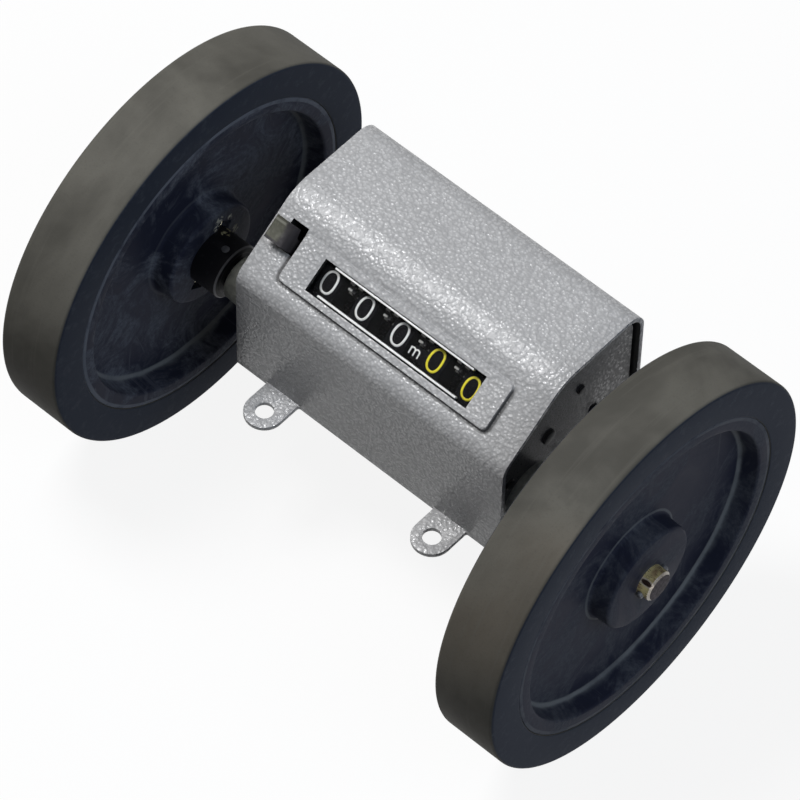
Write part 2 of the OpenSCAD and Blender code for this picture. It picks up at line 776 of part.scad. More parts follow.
module pinion_carrier_1() { pinion_carrier(1); }
module pinion_carrier_2() { pinion_carrier(2); }
module pinion_carrier_3() { pinion_carrier(3); }
module pinion_carrier_4() { pinion_carrier(4); }

module carrier_rod() {
    color(steel) bar(carrier_rod_at, -end_out - rod_proud, end_out + rod_proud, carrier_rod_r);
}

module front_tie_rod() {
    color(steel) bar(tie_at, -end_out - rod_proud, end_out + rod_proud, tie_r);
}

module reset_rod() {
    color(steel) bar(comb_at, -end_out - rod_proud, end_out + rod_proud, reset_rod_r);
}

// Space above the slope that the lever's tab may fill, with the lever pushed back
module tab_room() {
    translate([0, drum_y, drum_z]) rotate([lever_range, 0, 0]) translate([0, -drum_y, -drum_z])
        on_slope() translate([-body_l, -body_l, 0.3]) cube([body_l, 3 * body_l, body_l]);
}

// Sheet-steel reset lever on the drum shaft: arm through the slot, thumb tab, gear sector
module reset_lever() {
    tab_x = -lever_x - tab_w;
    arm_angle = 90 + slope - lever_lean;
    arm_l = (drum_depth + tab_rise - lever_t) / cos(lever_lean);
    color([0.36, 0.36, 0.32]) {
        difference() {
            union() {
                along_x(-lever_x - lever_t, -lever_x) translate(drum_at) {
                    circle(r = shaft_r + 2.4);
                    rotate(arm_angle) translate([0, -arm_w / 2]) square([arm_l - tab_bend, arm_w]);
                    intersection() {
                        gear_2d(lever_teeth, comb_m, comb_angle);
                        wedge_2d(comb_gap, comb_angle - lever_sector[0], comb_angle + lever_sector[1]);
                    }
                }
                bar(drum_at, -end_in + side_gap, -lever_x, shaft_r + 1.4);
            }
            bar(drum_at, -end_in - 1, -lever_x + 1, shaft_r + run_gap);
        }
        intersection() {
            union() {
                on_slope() translate([0, tab_lo + tab_l, 0]) rotate([90, 0, 0]) linear_extrude(tab_l)
                    polygon(rounded([[-lever_x, -tab_rise], [-lever_x, tab_rise], [tab_x, tab_rise],
                                     [tab_x, tab_rise - lever_t], [-lever_x - lever_t, tab_rise - lever_t],
                                     [-lever_x - lever_t, -tab_rise]],
                                    [0, tab_bend, 0.3, 0.3, tab_bend - lever_t, 0], 6));
            }
            union() {
                tab_room();
                along_x(-lever_x - lever_t - 1, -lever_x + 1) translate(drum_at) rotate(arm_angle)
                    translate([0, -arm_w / 2]) square([arm_l + 3, arm_w]);
            }
        }
    }
}

// Reset comb: a tube on the reset rod with a finger for each drum's cam, and a gear sector
module reset_comb() {
    rest = comb_angle + 180 - comb_range;
    color(steel) difference() {
        union() {
            bar(comb_at, -lever_x - lever_t - 0.2, drum_x(5) + drum_gear_x0, comb_r);
            along_x(-lever_x - lever_t, -lever_x) translate(comb_at) intersection() {
                gear_2d(comb_teeth, comb_m, comb_angle + 180 + 180 / comb_teeth);
                wedge_2d(comb_gap, comb_angle + 180 - comb_sector[0], comb_angle + 180 + comb_sector[1]);
            }
            for (i = [1 : 5]) along_x(drum_x(i) + cam_x0 + 0.2, drum_x(i) + cam_x0 + 0.2 + finger_w)
                translate(comb_at) rotate(rest)
                    polygon([[0, -2.2], [finger_l, -0.6], [finger_l, 0.6], [0, 2.2]]);
        }
        bar(comb_at, -end_in, end_in, reset_rod_r + run_gap);
    }
}

// Torsion spring of the reset comb, a coil round the reset rod
module reset_spring() {
    turns = 4.5;
    steps = 16;
    wire = 0.3;
    coil_r = reset_rod_r + 0.7;
    x0 = -end_in + 0.4;
    x1 = -lever_x - lever_t - 0.7;
    sides = 6;
    rings = floor(turns * steps);
    points = [for (k = [0 : rings], j = [0 : sides - 1])
        let (a = 360 * k / steps, r = coil_r + wire * cos(360 * j / sides))
        [x0 + (x1 - x0) * k / rings + wire * sin(360 * j / sides),
         comb_at.x + r * cos(a), comb_at.y + r * sin(a)]];
    color(steel) polyhedron(points, concat(
        [[for (j = [0 : sides - 1]) sides - 1 - j]],
        [for (k = [0 : rings - 1], j = [0 : sides - 1])
            let (a = k * sides + j, b = k * sides + (j + 1) % sides)
            each [[a, b, b + sides], [a, b + sides, a + sides]]],
        [[for (j = [0 : sides - 1]) rings * sides + j]]));
}

// Slotted pan-head screws through the cover's back into the base plate's tabs
slot_cut = 0.65;
module cover_screws() {
    head_r = 2.8;
    head_h = 1.6;
    head_round = 0.5;
    color(steel) for (x = [-cover_screw_x, cover_screw_x])
        translate([x, body_back, cover_screw_z]) rotate([-90, 0, 0]) difference() {
            union() {
                translate([0, 0, -wall - base_t - 2]) cylinder(h = wall + base_t + 2 + eps, r = screw_r);
                cylinder(h = head_h - head_round, r = head_r);
                translate([0, 0, head_h - head_round])
                    cylinder(h = head_round, r1 = head_r, r2 = head_r - head_round);
            }
            translate([-head_r, -slot_cut / 2, head_h - slot_cut]) cube([2 * head_r, slot_cut, slot_cut + 1]);
        }
}

// Countersunk screws from below into the end plates' flanges
module base_screws() {
    color(steel) for (x = [-base_screw_x, base_screw_x], y = base_screw_y)
        translate([x, y, -axle_h - base_t]) difference() {
            union() {
                cylinder(h = sink_depth, r1 = screw_r + sink_w, r2 = screw_r);
                cylinder(h = base_t + flange_t + 0.4, r = screw_r);
            }
            translate([-screw_r - sink_w, -slot_cut / 2, -eps])
                cube([2 * (screw_r + sink_w), slot_cut, slot_cut]);
        }
}

base_plate();
cover();
end_plate_left();
end_plate_right();
window_pane();
pane_clips();
bearing_bush_left();
bearing_bush_right();
axle();
collar_left();
collar_right();
collar_pins();
wheel_hub_left();
wheel_hub_right();
tyre_left();
tyre_right();
drive_pins();
hold_pins();
drive_gear();
idler_stud();
idler_gear();
drum_shaft();
drum_pinion();
front_tie_rod();
carrier_rod();
reset_rod();
reset_lever();
reset_comb();
reset_spring();
cover_screws();
base_screws();
number_drum_1();
number_drum_2();
number_drum_3();
number_drum_4();
number_drum_5();
carry_pinion_1();
carry_pinion_2();
carry_pinion_3();
carry_pinion_4();
pinion_carrier_1();
pinion_carrier_2();
pinion_carrier_3();
pinion_carrier_4();
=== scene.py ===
# Dresses the cable length counter: two measuring wheels on one axle, a hammered sheet housing
# between them, five number drums behind a window, and a reset lever. Lengths are in metres, but
# what length() takes, the rows of STAND_INS and the places in the finishes are in millimetres.
import json
import math

import bpy
from mathutils import Matrix, Vector


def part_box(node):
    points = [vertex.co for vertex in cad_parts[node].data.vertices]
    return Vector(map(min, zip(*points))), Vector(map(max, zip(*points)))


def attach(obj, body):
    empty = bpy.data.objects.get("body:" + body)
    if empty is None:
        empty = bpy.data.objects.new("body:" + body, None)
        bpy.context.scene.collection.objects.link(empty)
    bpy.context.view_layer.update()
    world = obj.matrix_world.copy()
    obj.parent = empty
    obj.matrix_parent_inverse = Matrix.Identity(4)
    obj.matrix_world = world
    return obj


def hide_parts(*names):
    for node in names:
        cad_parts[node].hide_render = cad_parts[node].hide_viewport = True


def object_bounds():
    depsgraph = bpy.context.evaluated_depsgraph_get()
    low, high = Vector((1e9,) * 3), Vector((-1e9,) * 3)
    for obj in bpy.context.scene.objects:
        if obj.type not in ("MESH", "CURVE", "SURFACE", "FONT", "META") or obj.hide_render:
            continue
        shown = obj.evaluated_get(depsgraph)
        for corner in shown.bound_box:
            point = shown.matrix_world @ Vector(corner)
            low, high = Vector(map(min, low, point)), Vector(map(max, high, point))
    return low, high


bl_info = {
    "name": "Cable length counter",
    "version": (1, 0, 0),
    "blender": (4, 5, 0),
    "location": "3D View > Sidebar > Counter",
    "description": "Builds the visible pieces and finishes of a two-wheel cable length counter",
    "category": "Object",
}

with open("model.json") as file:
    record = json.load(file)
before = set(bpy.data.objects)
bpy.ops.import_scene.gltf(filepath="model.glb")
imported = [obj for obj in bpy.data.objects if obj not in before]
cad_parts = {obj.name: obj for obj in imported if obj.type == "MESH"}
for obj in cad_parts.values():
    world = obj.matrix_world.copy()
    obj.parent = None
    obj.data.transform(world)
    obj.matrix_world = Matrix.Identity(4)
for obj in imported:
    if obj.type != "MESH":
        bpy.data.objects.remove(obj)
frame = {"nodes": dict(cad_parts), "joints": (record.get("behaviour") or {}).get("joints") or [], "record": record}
cad_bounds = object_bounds()


def corners(box):
    """The lowest and the highest corner of a box."""
    return [Vector(corner) for corner in box]


MM = 0.001
SLOTS = {part["node"]: part["material_slot"] for part in frame["record"]["subparts"]}
JOINTS = {joint["name"]: joint for joint in frame["joints"]}
BODY_OF = {node: body for body, nodes in frame["record"]["behaviour"]["bodies"].items() for node in nodes}
SIDES = ("left", "right")
DRUMS = range(1, 6)
WHITE_DRUMS = 3
BEND_STEPS = 14
BOSS_STEPS = 72
FINE_STEPS = 4

# Places taken from the packed model
DRUM_AXIS = Vector(JOINTS["drum_1_spin"]["pos_m"])
DRUM_X = [JOINTS["drum_%d_spin" % i]["pos_m"][0] for i in DRUMS]
DRUM_R = (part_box("number_drum_1")[1][2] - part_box("number_drum_1")[0][2]) / 2
TYRE_LOW, TYRE_HIGH = corners(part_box("tyre_right"))
HUB_LOW, HUB_HIGH = corners(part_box("wheel_hub_right"))
COVER_LOW, COVER_HIGH = corners(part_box("cover"))
PLATE_HIGH = corners(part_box("end_plate_right"))[1]
AXLE_R = corners(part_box("axle"))[1].z

# Limits of the modelling steps: the same place, points to merge, triangles that lie in one face
# (in degrees), and how squarely a face looks out of the slope, at least or as a cut wall at most
SAME = 0.01 * MM
MERGE = 0.002 * MM
ONE_FACE = 0.6
FLAT = 0.9999
CUT_WALL = 0.15
# How strongly painted shade darkens the paint along the pressed line
PAINTED_CREASE_SHADE = 2.2


def number(name, description, default, **kinds):
    """A number that a user may change, of any kind."""
    return bpy.props.FloatProperty(name=name, description=description, default=default, **kinds)


def length(name, description, millimetres):
    """A length, given in millimetres."""
    return number(name, description, millimetres * MM, unit="LENGTH", precision=5, min=0.0)


def angle(name, description, degrees):
    """An angle, given in degrees."""
    return number(name, description, math.radians(degrees), subtype="ANGLE")


def share(name, description, default):
    """A plain factor."""
    return number(name, description, default, subtype="FACTOR")


def colour(name, description, rgb):
    """A colour in linear values."""
    return bpy.props.FloatVectorProperty(name=name, description=description, default=rgb,
                                         subtype="COLOR", size=3, min=0.0, max=1.0)


class WheelSettings(bpy.types.PropertyGroup):
    """Sizes of the wheels and of the pin slots in their hubs."""
    tyre_t: length("Tyre thickness", "Radial thickness of the tyre", 9.55)
    tyre_edge: length("Tyre edge", "Rounding of the tyre's edges", 0.9)
    rim_t: length("Rim thickness", "Radial thickness of the hub's rim", 3.9)
    rim_sink: length("Rim sink", "How far the hub's rim lies inside the tyre's faces", 0.15)
    pocket_out: length("Outer pocket", "Depth of the pocket in the outer face", 5.4)
    pocket_in: length("Inner pocket", "Depth of the pocket in the inner face", 6.1)
    draft: length("Pocket draft", "How much a pocket narrows towards its floor", 0.7)
    boss_r: length("Boss radius", "Radius of the hub's boss", 13.9)
    boss_draft: length("Boss draft", "How much the boss widens towards the pocket's floor", 0.2)
    boss_edge: length("Boss edge", "Rounding of the boss's edge", 0.9)
    mouth_edge: length("Pocket edge", "Rounding of the pocket's mouth", 0.7)
    rim_edge: length("Rim edge", "Rounding of the hub's rim at the tyre", 0.35)
    root: length("Root fillet", "Fillet in the pockets' corners", 1.2)
    slot_w: length("Slot width", "Width of the slot for the drive pin", 4.2)
    slot_gap: length("Slot end gap", "Gap at each end of the drive pin", 0.6)
    slot_under: length("Slot floor gap", "Gap between the drive pin and the slot's floor", 0.2)
    slot_angle: angle("Slot angle", "Turn of the drive pin about the axle", 56)
    steps: bpy.props.IntProperty(name="Steps", description="Steps round a wheel", default=240, min=24)


class HousingSettings(bpy.types.PropertyGroup):
    """Sizes of the housing."""
    slope: angle("Window slope", "Slope of the window face from the horizontal", 36)
    wall: length("Sheet thickness", "Thickness of the cover's sheet", 1.2)
    pane_t: length("Pane thickness", "Thickness of the clear pane", 1.0)
    pane_edge: length("Pane edge", "Rounding of the pane's edges", 0.1)
    drum_gap: length("Drum gap", "Gap between pane and drums", 0.3)
    front_r: length("Front bend", "Radius of the bend over the front face", 5)
    top_r: length("Top bend", "Radius of the bend between slope and top", 12)
    back_r: length("Back bend", "Radius of the bend at the top of the back", 6)
    window_l: length("Window length", "Length of the window opening", 48.4)
    window_more: length("Window reach", "How much further the opening reaches past the last digit", 0.7)
    window_h: length("Window height", "Height of the window opening along the slope", 8.7)
    raised_l: length("Raised flat length", "Length of the raised flat round the window", 64)
    raised_down: length("Raised flat below", "From the window's middle down to the flat's edge", 6.45)
    raised_up: length("Raised flat above", "From the window's middle up to the flat's edge", 6.65)
    raised_t: length("Raised flat height", "Height of the raised flat at its lower edge", 0.8)
    raised_r: length("Raised flat corners", "Corner radius of the raised flat", 1.6)
    raised_side: length("Raised flat side", "Width of the raised flat's sloped side", 0.42)
    raised_top: share("Raised flat top", "Height at the upper edge, as a share of the lower edge's", 0.55)
    groove: length("Groove depth", "Depth of the pressed line round the raised flat", 0.28)
    groove_w: length("Groove width", "Width of the pressed line round the raised flat", 1.1)
    strip_w: length("Strip width", "Width of the bright strips along the opening", 0.5)
    strip_gap: length("Strip gap", "Dark gap between a bright strip and the sheet", 0.28)
    strip_rise: length("Strip rise", "How far the bright strips stand out of the sheet", 0.05)
    strip_edge: length("Strip edge", "Rounding of the bright strips' edges", 0.12)
    mask_w: length("Mask width", "How much of the window's height each mask strip hides", 0.75)
    mask_t: length("Mask thickness", "Thickness of the mask strips", 0.15)
    mask_back: length("Mask overlap", "How far a mask strip goes on behind the sheet", 1.4)
    mask_edge: length("Mask edge", "Rounding of the mask strips' edges", 0.04)
    slot_l: length("Lever slot width", "Width of the lever's slot", 4.8)
    slot_from: length("Lever slot foot", "How far up the slope the lever's slot begins", 11.27)
    slot_to: length("Lever slot head", "How far up the slope the lever's slot ends", 18.86)
    ease: length("Eased edge", "Rounding of the sheet's cut edges", 0.18)
    boss_foot: length("Boss foot", "Wall of the bearing boss at its foot", 2.45)
    boss_tip: length("Boss tip", "Wall of the bearing boss at its tip", 1.85)
    boss_edge: length("Boss edge", "Rounding of the bearing boss's tip", 0.7)
    boss_gap: length("Boss gap", "Gap between the axle and the bearing boss", 0.17)
    boss_fillet: length("Boss fillet", "Fillet at the root of the bearing boss", 1.6)


class DrumSettings(bpy.types.PropertyGroup):
    """Sizes of the numerals and the unit plate."""
    numeral_h: length("Numeral height", "Height of a numeral over its stroke", 6.2)
    numeral_l: length("Numeral width", "Width of a numeral over its stroke", 4.1)
    stroke: length("Stroke", "Width of a numeral's stroke", 0.6)
    relief: share("Relief", "How far a stroke stands proud, as a share of its width", 0.2)
    last_turn: angle("Last drum's turn", "How far the last drum stands past its figure", 2.4)
    drum_edge: length("Drum edge", "Rounding of the drums' edges", 0.12)
    unit_h: length("Unit height", "Height of the unit letter", 2.3)
    unit_l: length("Unit width", "Width of the unit letter", 2.9)
    unit_stroke: length("Unit stroke", "Width of the unit letter's stroke", 0.4)
    unit_x: length("Unit place", "Place of the unit letter along the axle", 5.5)
    unit_drop: length("Unit drop", "How far the unit letter sits below the window's middle", 1.38)
    unit_sink: length("Unit depth", "How far the letter's strokes lie inside the drums' surface", 0.2)
    plate_h: length("Plate height", "Height of the plate behind the unit letter", 3.4)
    plate_t: length("Plate thickness", "Thickness of that plate", 0.5)
    plate_end: length("Plate end", "Where that plate ends along the axle", 8.2)
    plate_more: length("Plate overlap", "How far that plate reaches past its stem's other side", 0.5)
    plate_sink: length("Plate depth", "How far that plate's middle lies inside the drums' surface", 0.45)
    plate_edge: length("Plate edge", "Rounding of the plate's and the stem's edges", 0.08)
    stem_h: length("Stem height", "Height of the stem that carries the plate", 2.2)
    stem_l: length("Stem length", "Length of that stem towards the drums' axis", 6.0)


class FinishSettings(bpy.types.PropertyGroup):
    """Colours of the finishes."""
    paint_light: colour("Paint, light", "Light flecks of the hammered paint", (0.56, 0.56, 0.565))
    paint_dark: colour("Paint, dark", "Dark cells of the hammered paint", (0.35, 0.35, 0.355))
    hub: colour("Hub", "Blue-black moulding", (0.028, 0.032, 0.055))
    dust: colour("Dust", "Pale dust and scuffs on the moulding", (0.115, 0.125, 0.15))
    tread: colour("Tread", "Worn tread rubber", (0.098, 0.094, 0.082))
    tyre_side: colour("Tyre side", "Flat sides of the tyre", (0.034, 0.042, 0.062))
    drum: colour("Drum", "Satin black moulding", (0.004, 0.004, 0.005))
    numeral: colour("Numeral", "White numerals", (0.95, 0.95, 0.93))
    tenth: colour("Decimal numeral", "Yellow numerals", (1.0, 0.86, 0.04))
    lever: colour("Lever", "Olive-grey sheet steel", (0.060, 0.060, 0.046))


class StageSettings(bpy.types.PropertyGroup):
    """Camera, lamps and floor."""
    azimuth: number("Azimuth", "Camera direction in degrees", 40.781)
    elevation: number("Elevation", "Camera height angle in degrees", 54.626)
    roll: number("Roll", "Camera roll in degrees", 1.477)
    distance: length("Distance", "Camera distance", 1278.66)
    across: number("Across", "Camera offset to the right", 0.619 * MM)
    upward: number("Upward", "Camera offset upwards", -1.729 * MM)
    lens: number("Lens", "Focal length for a 36 mm sensor", 248.98)
    key: number("Key lamp", "Power of the key lamp in watts", 10.4)
    fill: number("Fill lamp", "Power of the fill lamp in watts", 3.0)
    ambient: share("Ambient", "Strength of the sky's light", 0.088)
    gloss: share("Gloss", "Strength of the sky in reflections", 0.45)
    shine: share("Floor shine", "Share of the floor's own light in what the camera sees", 0.89)


GROUPS = {
    "counter_wheels": WheelSettings,
    "counter_housing": HousingSettings,
    "counter_drums": DrumSettings,
    "counter_finish": FinishSettings,
    "counter_stage": StageSettings,
}

# Small steps that a modeller repeats


def deselect():
    """Leaves edit mode and deselects every object."""
    if bpy.context.object is not None and bpy.context.object.mode != "OBJECT":
        bpy.ops.object.mode_set(mode="OBJECT")
    bpy.ops.object.select_all(action="DESELECT")


def take(piece):
    """Makes a piece the only selected and active object."""
    deselect()
    piece.select_set(True)
    bpy.context.view_layer.objects.active = piece


def edit(piece, action="SELECT"):
    """Opens a piece in edit mode, with all of it selected unless another action is given."""
    take(piece)
    bpy.ops.object.mode_set(mode="EDIT")
    bpy.ops.mesh.select_mode(type="VERT")
    if action:
        bpy.ops.mesh.select_all(action=action)


def done():
    """Closes edit mode."""
    bpy.ops.object.mode_set(mode="OBJECT")


def settle(piece):
    """Moves a piece's place into its mesh, so that its object sits at the origin."""
    take(piece)
    bpy.ops.object.transform_apply(location=True, rotation=True, scale=True)
    return piece


def face_out(piece):
    """Turns all faces of a closed piece outwards."""
    edit(piece)
    bpy.ops.mesh.normals_make_consistent(inside=False)
    done()


def pick(piece, kind, wanted):
    """Selects the faces or the edges that pass a test, and opens edit mode."""
    take(piece)
    mesh = piece.data
    for group in (mesh.vertices, mesh.edges, mesh.polygons):
        group.foreach_set("select", [False] * len(group))
    for item in mesh.polygons if kind == "FACE" else mesh.edges:
        item.select = wanted(item)
    bpy.context.tool_settings.mesh_select_mode = (False, kind == "EDGE", kind == "FACE")
    bpy.ops.object.mode_set(mode="EDIT")


def draw(points, name, closed=True):
    """Draws a line of edges through points by extruding one vertex, and closes it if asked."""
    deselect()
    bpy.ops.mesh.primitive_plane_add(size=MM, location=points[0])
    line = bpy.context.object
    line.name = name
    settle(line)
    edit(line)
    bpy.ops.mesh.merge(type="CENTER")
    for start, end in zip(points, points[1:]):
        bpy.ops.mesh.extrude_region_move(TRANSFORM_OT_translate={"value": Vector(end) - Vector(start)})
    if closed:
        done()
        line.data.vertices[0].select = True
        edit(line, None)
        bpy.ops.mesh.edge_face_add()
    done()
    return line


def turned(outline, name, steps, corner_steps=5):
    """A round piece from rows of place along the axle, radius and rounding of the corner there."""
    rows = [(Vector((x, 0, r)), rounding) for x, r, rounding in outline]
    points = []
    for i, (corner, rounding) in enumerate(rows):
        if rounding <= 0:
            points.append(corner)
            continue
        before = (rows[i - 1][0] - corner).normalized()
        after = (rows[(i + 1) % len(rows)][0] - corner).normalized()
        half = before.angle(after) / 2
        centre = corner + (before + after).normalized() * rounding / math.sin(half)
        first = (corner + before * rounding / math.tan(half) - centre).normalized()
        last = (corner + after * rounding / math.tan(half) - centre).normalized()
        points += [centre + first.slerp(last, k / corner_steps) * rounding for k in range(corner_steps + 1)]
    piece = draw(points, name)
    edit(piece)
    bpy.ops.mesh.spin(steps=steps, angle=math.tau, center=(0, 0, 0), axis=(1, 0, 0))
    bpy.ops.mesh.select_all(action="SELECT")
    bpy.ops.mesh.remove_doubles(threshold=MERGE)
    bpy.ops.mesh.normals_make_consistent(inside=False)
    done()
    return piece


def finish_with(piece, kind, **values):
    """Adds a modifier, sets it and applies it."""
    take(piece)
    bpy.ops.object.modifier_add(type=kind)
    modifier = piece.modifiers[-1]
    for name, value in values.items():
        setattr(modifier, name, value)
    bpy.ops.object.modifier_apply(modifier=modifier.name)


def ease_edges(piece, width, sharp=35, segments=2):
    """Rounds the edges that turn by more than an angle."""
    finish_with(piece, "BEVEL", width=width, segments=segments, limit_method="ANGLE",
                angle_limit=math.radians(sharp), miter_outer="MITER_ARC", use_clamp_overlap=True)


def smooth(piece, degrees=40):
    """Smooth shading, but not across edges that turn by more."""
    take(piece)
    bpy.ops.object.shade_smooth_by_angle(angle=math.radians(degrees))


def soft_step(level):
    """0 up to 0, 1 from 1, and a soft rise between."""
    level = min(max(level, 0.0), 1.0)
    return level * level * (3 - 2 * level)


def block(low, high, name="tool"):
    """A box between two corners."""
    deselect()
    bpy.ops.mesh.primitive_cube_add(size=1, location=(Vector(low) + Vector(high)) / 2,
                                    scale=Vector(high) - Vector(low))
    piece = bpy.context.object
    piece.name = name
    return settle(piece)


def turn_about_axle(turn):
    """Turns the selected pieces about the axle."""
    bpy.ops.transform.rotate(value=-turn, orient_axis="X", center_override=(0, 0, 0))


def join(pieces, name):
    """Joins pieces into the first."""
    take(pieces[0])
    for piece in pieces[1:]:
        piece.select_set(True)
    if len(pieces) > 1:
        bpy.ops.object.join()
    pieces[0].name = name
    pieces[0].data.name = name
    return pieces[0]


def hand_over(piece, body, slot, finish, *nodes):
    """Gives a finished piece its finish and its body, and hides the CAD nodes that it stands for."""
    piece.data.materials.clear()
    piece.data.materials.append(finish_of(finish))
    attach(piece, body)
    if nodes:
        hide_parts(*nodes)


def both_sides(right, twin, shading, body, slot, finish, node=None):
    """Mirrors a right-hand piece and hands both over, each for the CAD node of its side."""
    smooth(right, shading)
    take(right)
    bpy.ops.object.duplicate()
    left = bpy.context.object
    left.name = twin
    left.data.name = twin
    bpy.ops.transform.resize(value=(-1, 1, 1), center_override=(0, 0, 0))
    face_out(settle(left))
    smooth(left, shading)
    for piece, side in ((right, "right"), (left, "left")):
        hand_over(piece, body, slot, finish, *([node + side] if node else []))


def stand_in(node, width, finish, segments=2, shading=40):
    """Replaces a CAD node by a copy with its triangles joined into faces and its edges rounded."""
    deselect()
    piece = bpy.data.objects.new(node + "_eased", frame["nodes"][node].data.copy())
    bpy.context.scene.collection.objects.link(piece)
    piece.data.name = piece.name
    piece.data.materials.clear()
    take(piece)
    bpy.ops.mesh.customdata_custom_splitnormals_clear()
    edit(piece)
    bpy.ops.mesh.remove_doubles(threshold=MERGE)
    bpy.ops.mesh.dissolve_limited(angle_limit=math.radians(ONE_FACE))
    done()
    ease_edges(piece, width, segments=segments)
    smooth(piece, shading)
    hand_over(piece, BODY_OF[node], SLOTS[node], finish, node)


RODS = ("drum_shaft", "carrier_rod", "reset_rod", "front_tie_rod")
# Nodes that are only eased and finished: node, rounding in millimetres, finish, segments
STAND_INS = {
    "axle": [
        ("axle", 0.12, "axle_zinc", 3),
        *(("collar_" + side, 0.15, "collar_steel", 2) for side in SIDES),
        ("collar_pins", 0.1, "dull_steel", 2),
        ("drive_pins", 0.25, "pin_zinc", 2),
        ("hold_pins", 0.2, "dull_steel", 2),
    ],
    "works": [
        *(("bearing_bush_" + side, 0.1, "bronze", 2) for side in SIDES),
        *((rod, 0.25, "black_steel", 3) for rod in RODS),
        ("idler_stud", 0.25, "plated_steel", 3),
        *(("carry_pinion_%d" % i, 0.06, "carry_nylon", 2) for i in range(1, 5)),
        *(("pinion_carrier_%d" % i, 0.06, "black_steel", 2) for i in range(1, 5)),
    ],
    "screws": [
        ("cover_screws", 0.04, "plated_steel", 2),
        ("base_screws", 0.06, "plated_steel", 2),
    ],
    "lever": [("reset_lever", 0.14, "lever_steel", 2)],
}


def stand_ins(group):
    """Replaces a group of CAD nodes by their eased copies."""
    for node, rounding, finish, segments in STAND_INS[group]:
        stand_in(node, rounding * MM, finish, segments)


# Finishes


def shaded(rgb, level):
    """A colour made darker or lighter."""
    return tuple(min(1.0, c * level) for c in rgb)


class Nodes:
    """A node tree under construction, with short ways to add nodes."""

    def __init__(self, tree):
        self.tree = tree

    def put(self, value, socket):
        """Links a socket to an input, or sets the input's value."""
        if isinstance(value, bpy.types.NodeSocket):
            self.tree.links.new(value, socket)
        else:
            socket.default_value = (*value[:3], 1.0) if socket.type == "RGBA" else value

    def add(self, kind, inputs=(), **settings):
        """Adds a node, sets it and puts its inputs in."""
        node = self.tree.nodes.new("ShaderNode" + kind)
        for name, value in settings.items():
            setattr(node, name, value)
        for name, value in dict(inputs).items():
            self.put(value, node.inputs[name])
        return node

    def math(self, operation, first, *others):
        """Works through values from the first to the last."""
        for other in others or (0.0,):
            first = self.add("Math", {0: first, 1: other}, operation=operation).outputs[0]
        return first

    def times(self, *values):
        """The product of all values."""
        return self.math("MULTIPLY", *values)

    def most(self, *values):
        """The greatest of all values."""
        return self.math("MAXIMUM", *values)


class Finish(Nodes):
    """A material under construction, whose nodes read the piece's own coordinates."""

    def __init__(self, name, metallic, roughness, specular):
        self.material = bpy.data.materials.new("finish_" + name)
        self.material.use_nodes = True
        super().__init__(self.material.node_tree)
        self.shader = self.tree.nodes["Principled BSDF"]
        self.roughness = roughness
        self.set("Metallic", metallic)
        self.set("Roughness", roughness)
        self.set("Specular IOR Level", specular)
        self.place = self.add("TexCoord").outputs["Object"]

    def set(self, name, value):
        """Links or sets an input of the main shader."""
        self.put(value, self.shader.inputs[name])

    def noise(self, scale, detail=3.0, roughness=0.55, distortion=0.0, place=None):
        """A soft noise in the piece's own coordinates."""
        inputs = {"Vector": place or self.place, "Scale": scale, "Detail": detail,
                  "Roughness": roughness, "Distortion": distortion}
        return self.add("TexNoise", inputs).outputs["Fac"]

    def stretched(self, x, y, z):
        """The piece's own coordinates, scaled along each axis."""
        return self.add("Mapping", {"Vector": self.place, "Scale": (x, y, z)}).outputs["Vector"]

    def xyz(self):
        """Place along the axle, back and up, in millimetres."""
        return self.add("SeparateXYZ", {0: self.stretched(1000, 1000, 1000)}).outputs

    def radius(self, y=0.0, z=0.0):
        """Distance in millimetres from the axle, or from a line beside it."""
        flat = self.add("Mapping", {"Vector": self.place, "Location": (0, -y / MM, -z / MM),
                                    "Scale": (0, 1000, 1000)}).outputs["Vector"]
        return self.add("VectorMath", {0: flat}, operation="LENGTH").outputs["Value"]

    def distance(self, vector, point):
        """Distance from a point."""
        return self.add("VectorMath", {0: vector, 1: point}, operation="DISTANCE").outputs["Value"]

    def band(self, value, low, high, out_low=0.0, out_high=1.0):
        """A soft rise of a value's range to another range."""
        inputs = {"Value": value, "From Min": low, "From Max": high, "To Min": out_low, "To Max": out_high}
        return self.add("MapRange", inputs, interpolation_type="SMOOTHSTEP").outputs["Result"]

    def hill(self, value, start, full, fade, end):
        """1 between two values, with a soft rise before and a soft fall after."""
        return self.times(self.band(value, start, full), self.band(value, end, fade))

    def mix(self, factor, first, second):
        """A colour between two colours."""
        return self.add("Mix", {0: factor, 6: first, 7: second}, data_type="RGBA").outputs[2]

    def facing(self):
        """How squarely the surface faces along the axle."""
        normal = self.add("NewGeometry").outputs["Normal"]
        return self.math("ABSOLUTE", self.add("SeparateXYZ", {0: normal}).outputs[0])

    def specks(self, *spots):
        """Painted glints: bright spots round some points, given as distance along the axle, y, z and reach."""
        x, y, z = self.xyz()
        folded = self.add("CombineXYZ", {0: self.math("ABSOLUTE", x), 1: y, 2: z}).outputs[0]
        near = [self.band(self.distance(folded, spot[:3]), spot[3], 0.6 * spot[3]) for spot in spots]
        return self.times(self.most(*near), self.band(self.noise(1100.0, 2.0), 0.47, 0.56))

    def colour(self, factor, first, second):
        """Gives the surface a mix of two colours."""
        self.set("Base Color", self.mix(factor, first, second))

    def rough(self, *band):
        """Gives the surface a roughness that follows a value's range."""
        self.set("Roughness", self.band(*band))

    def bump(self, height, strength, depth):
        """Bumps of a height, or of a noise where only its scale is given."""
        if not isinstance(height, bpy.types.NodeSocket):
            height = self.noise(height)
        inputs = {"Height": height, "Strength": strength, "Distance": depth}
        self.set("Normal", self.add("Bump", inputs).outputs["Normal"])


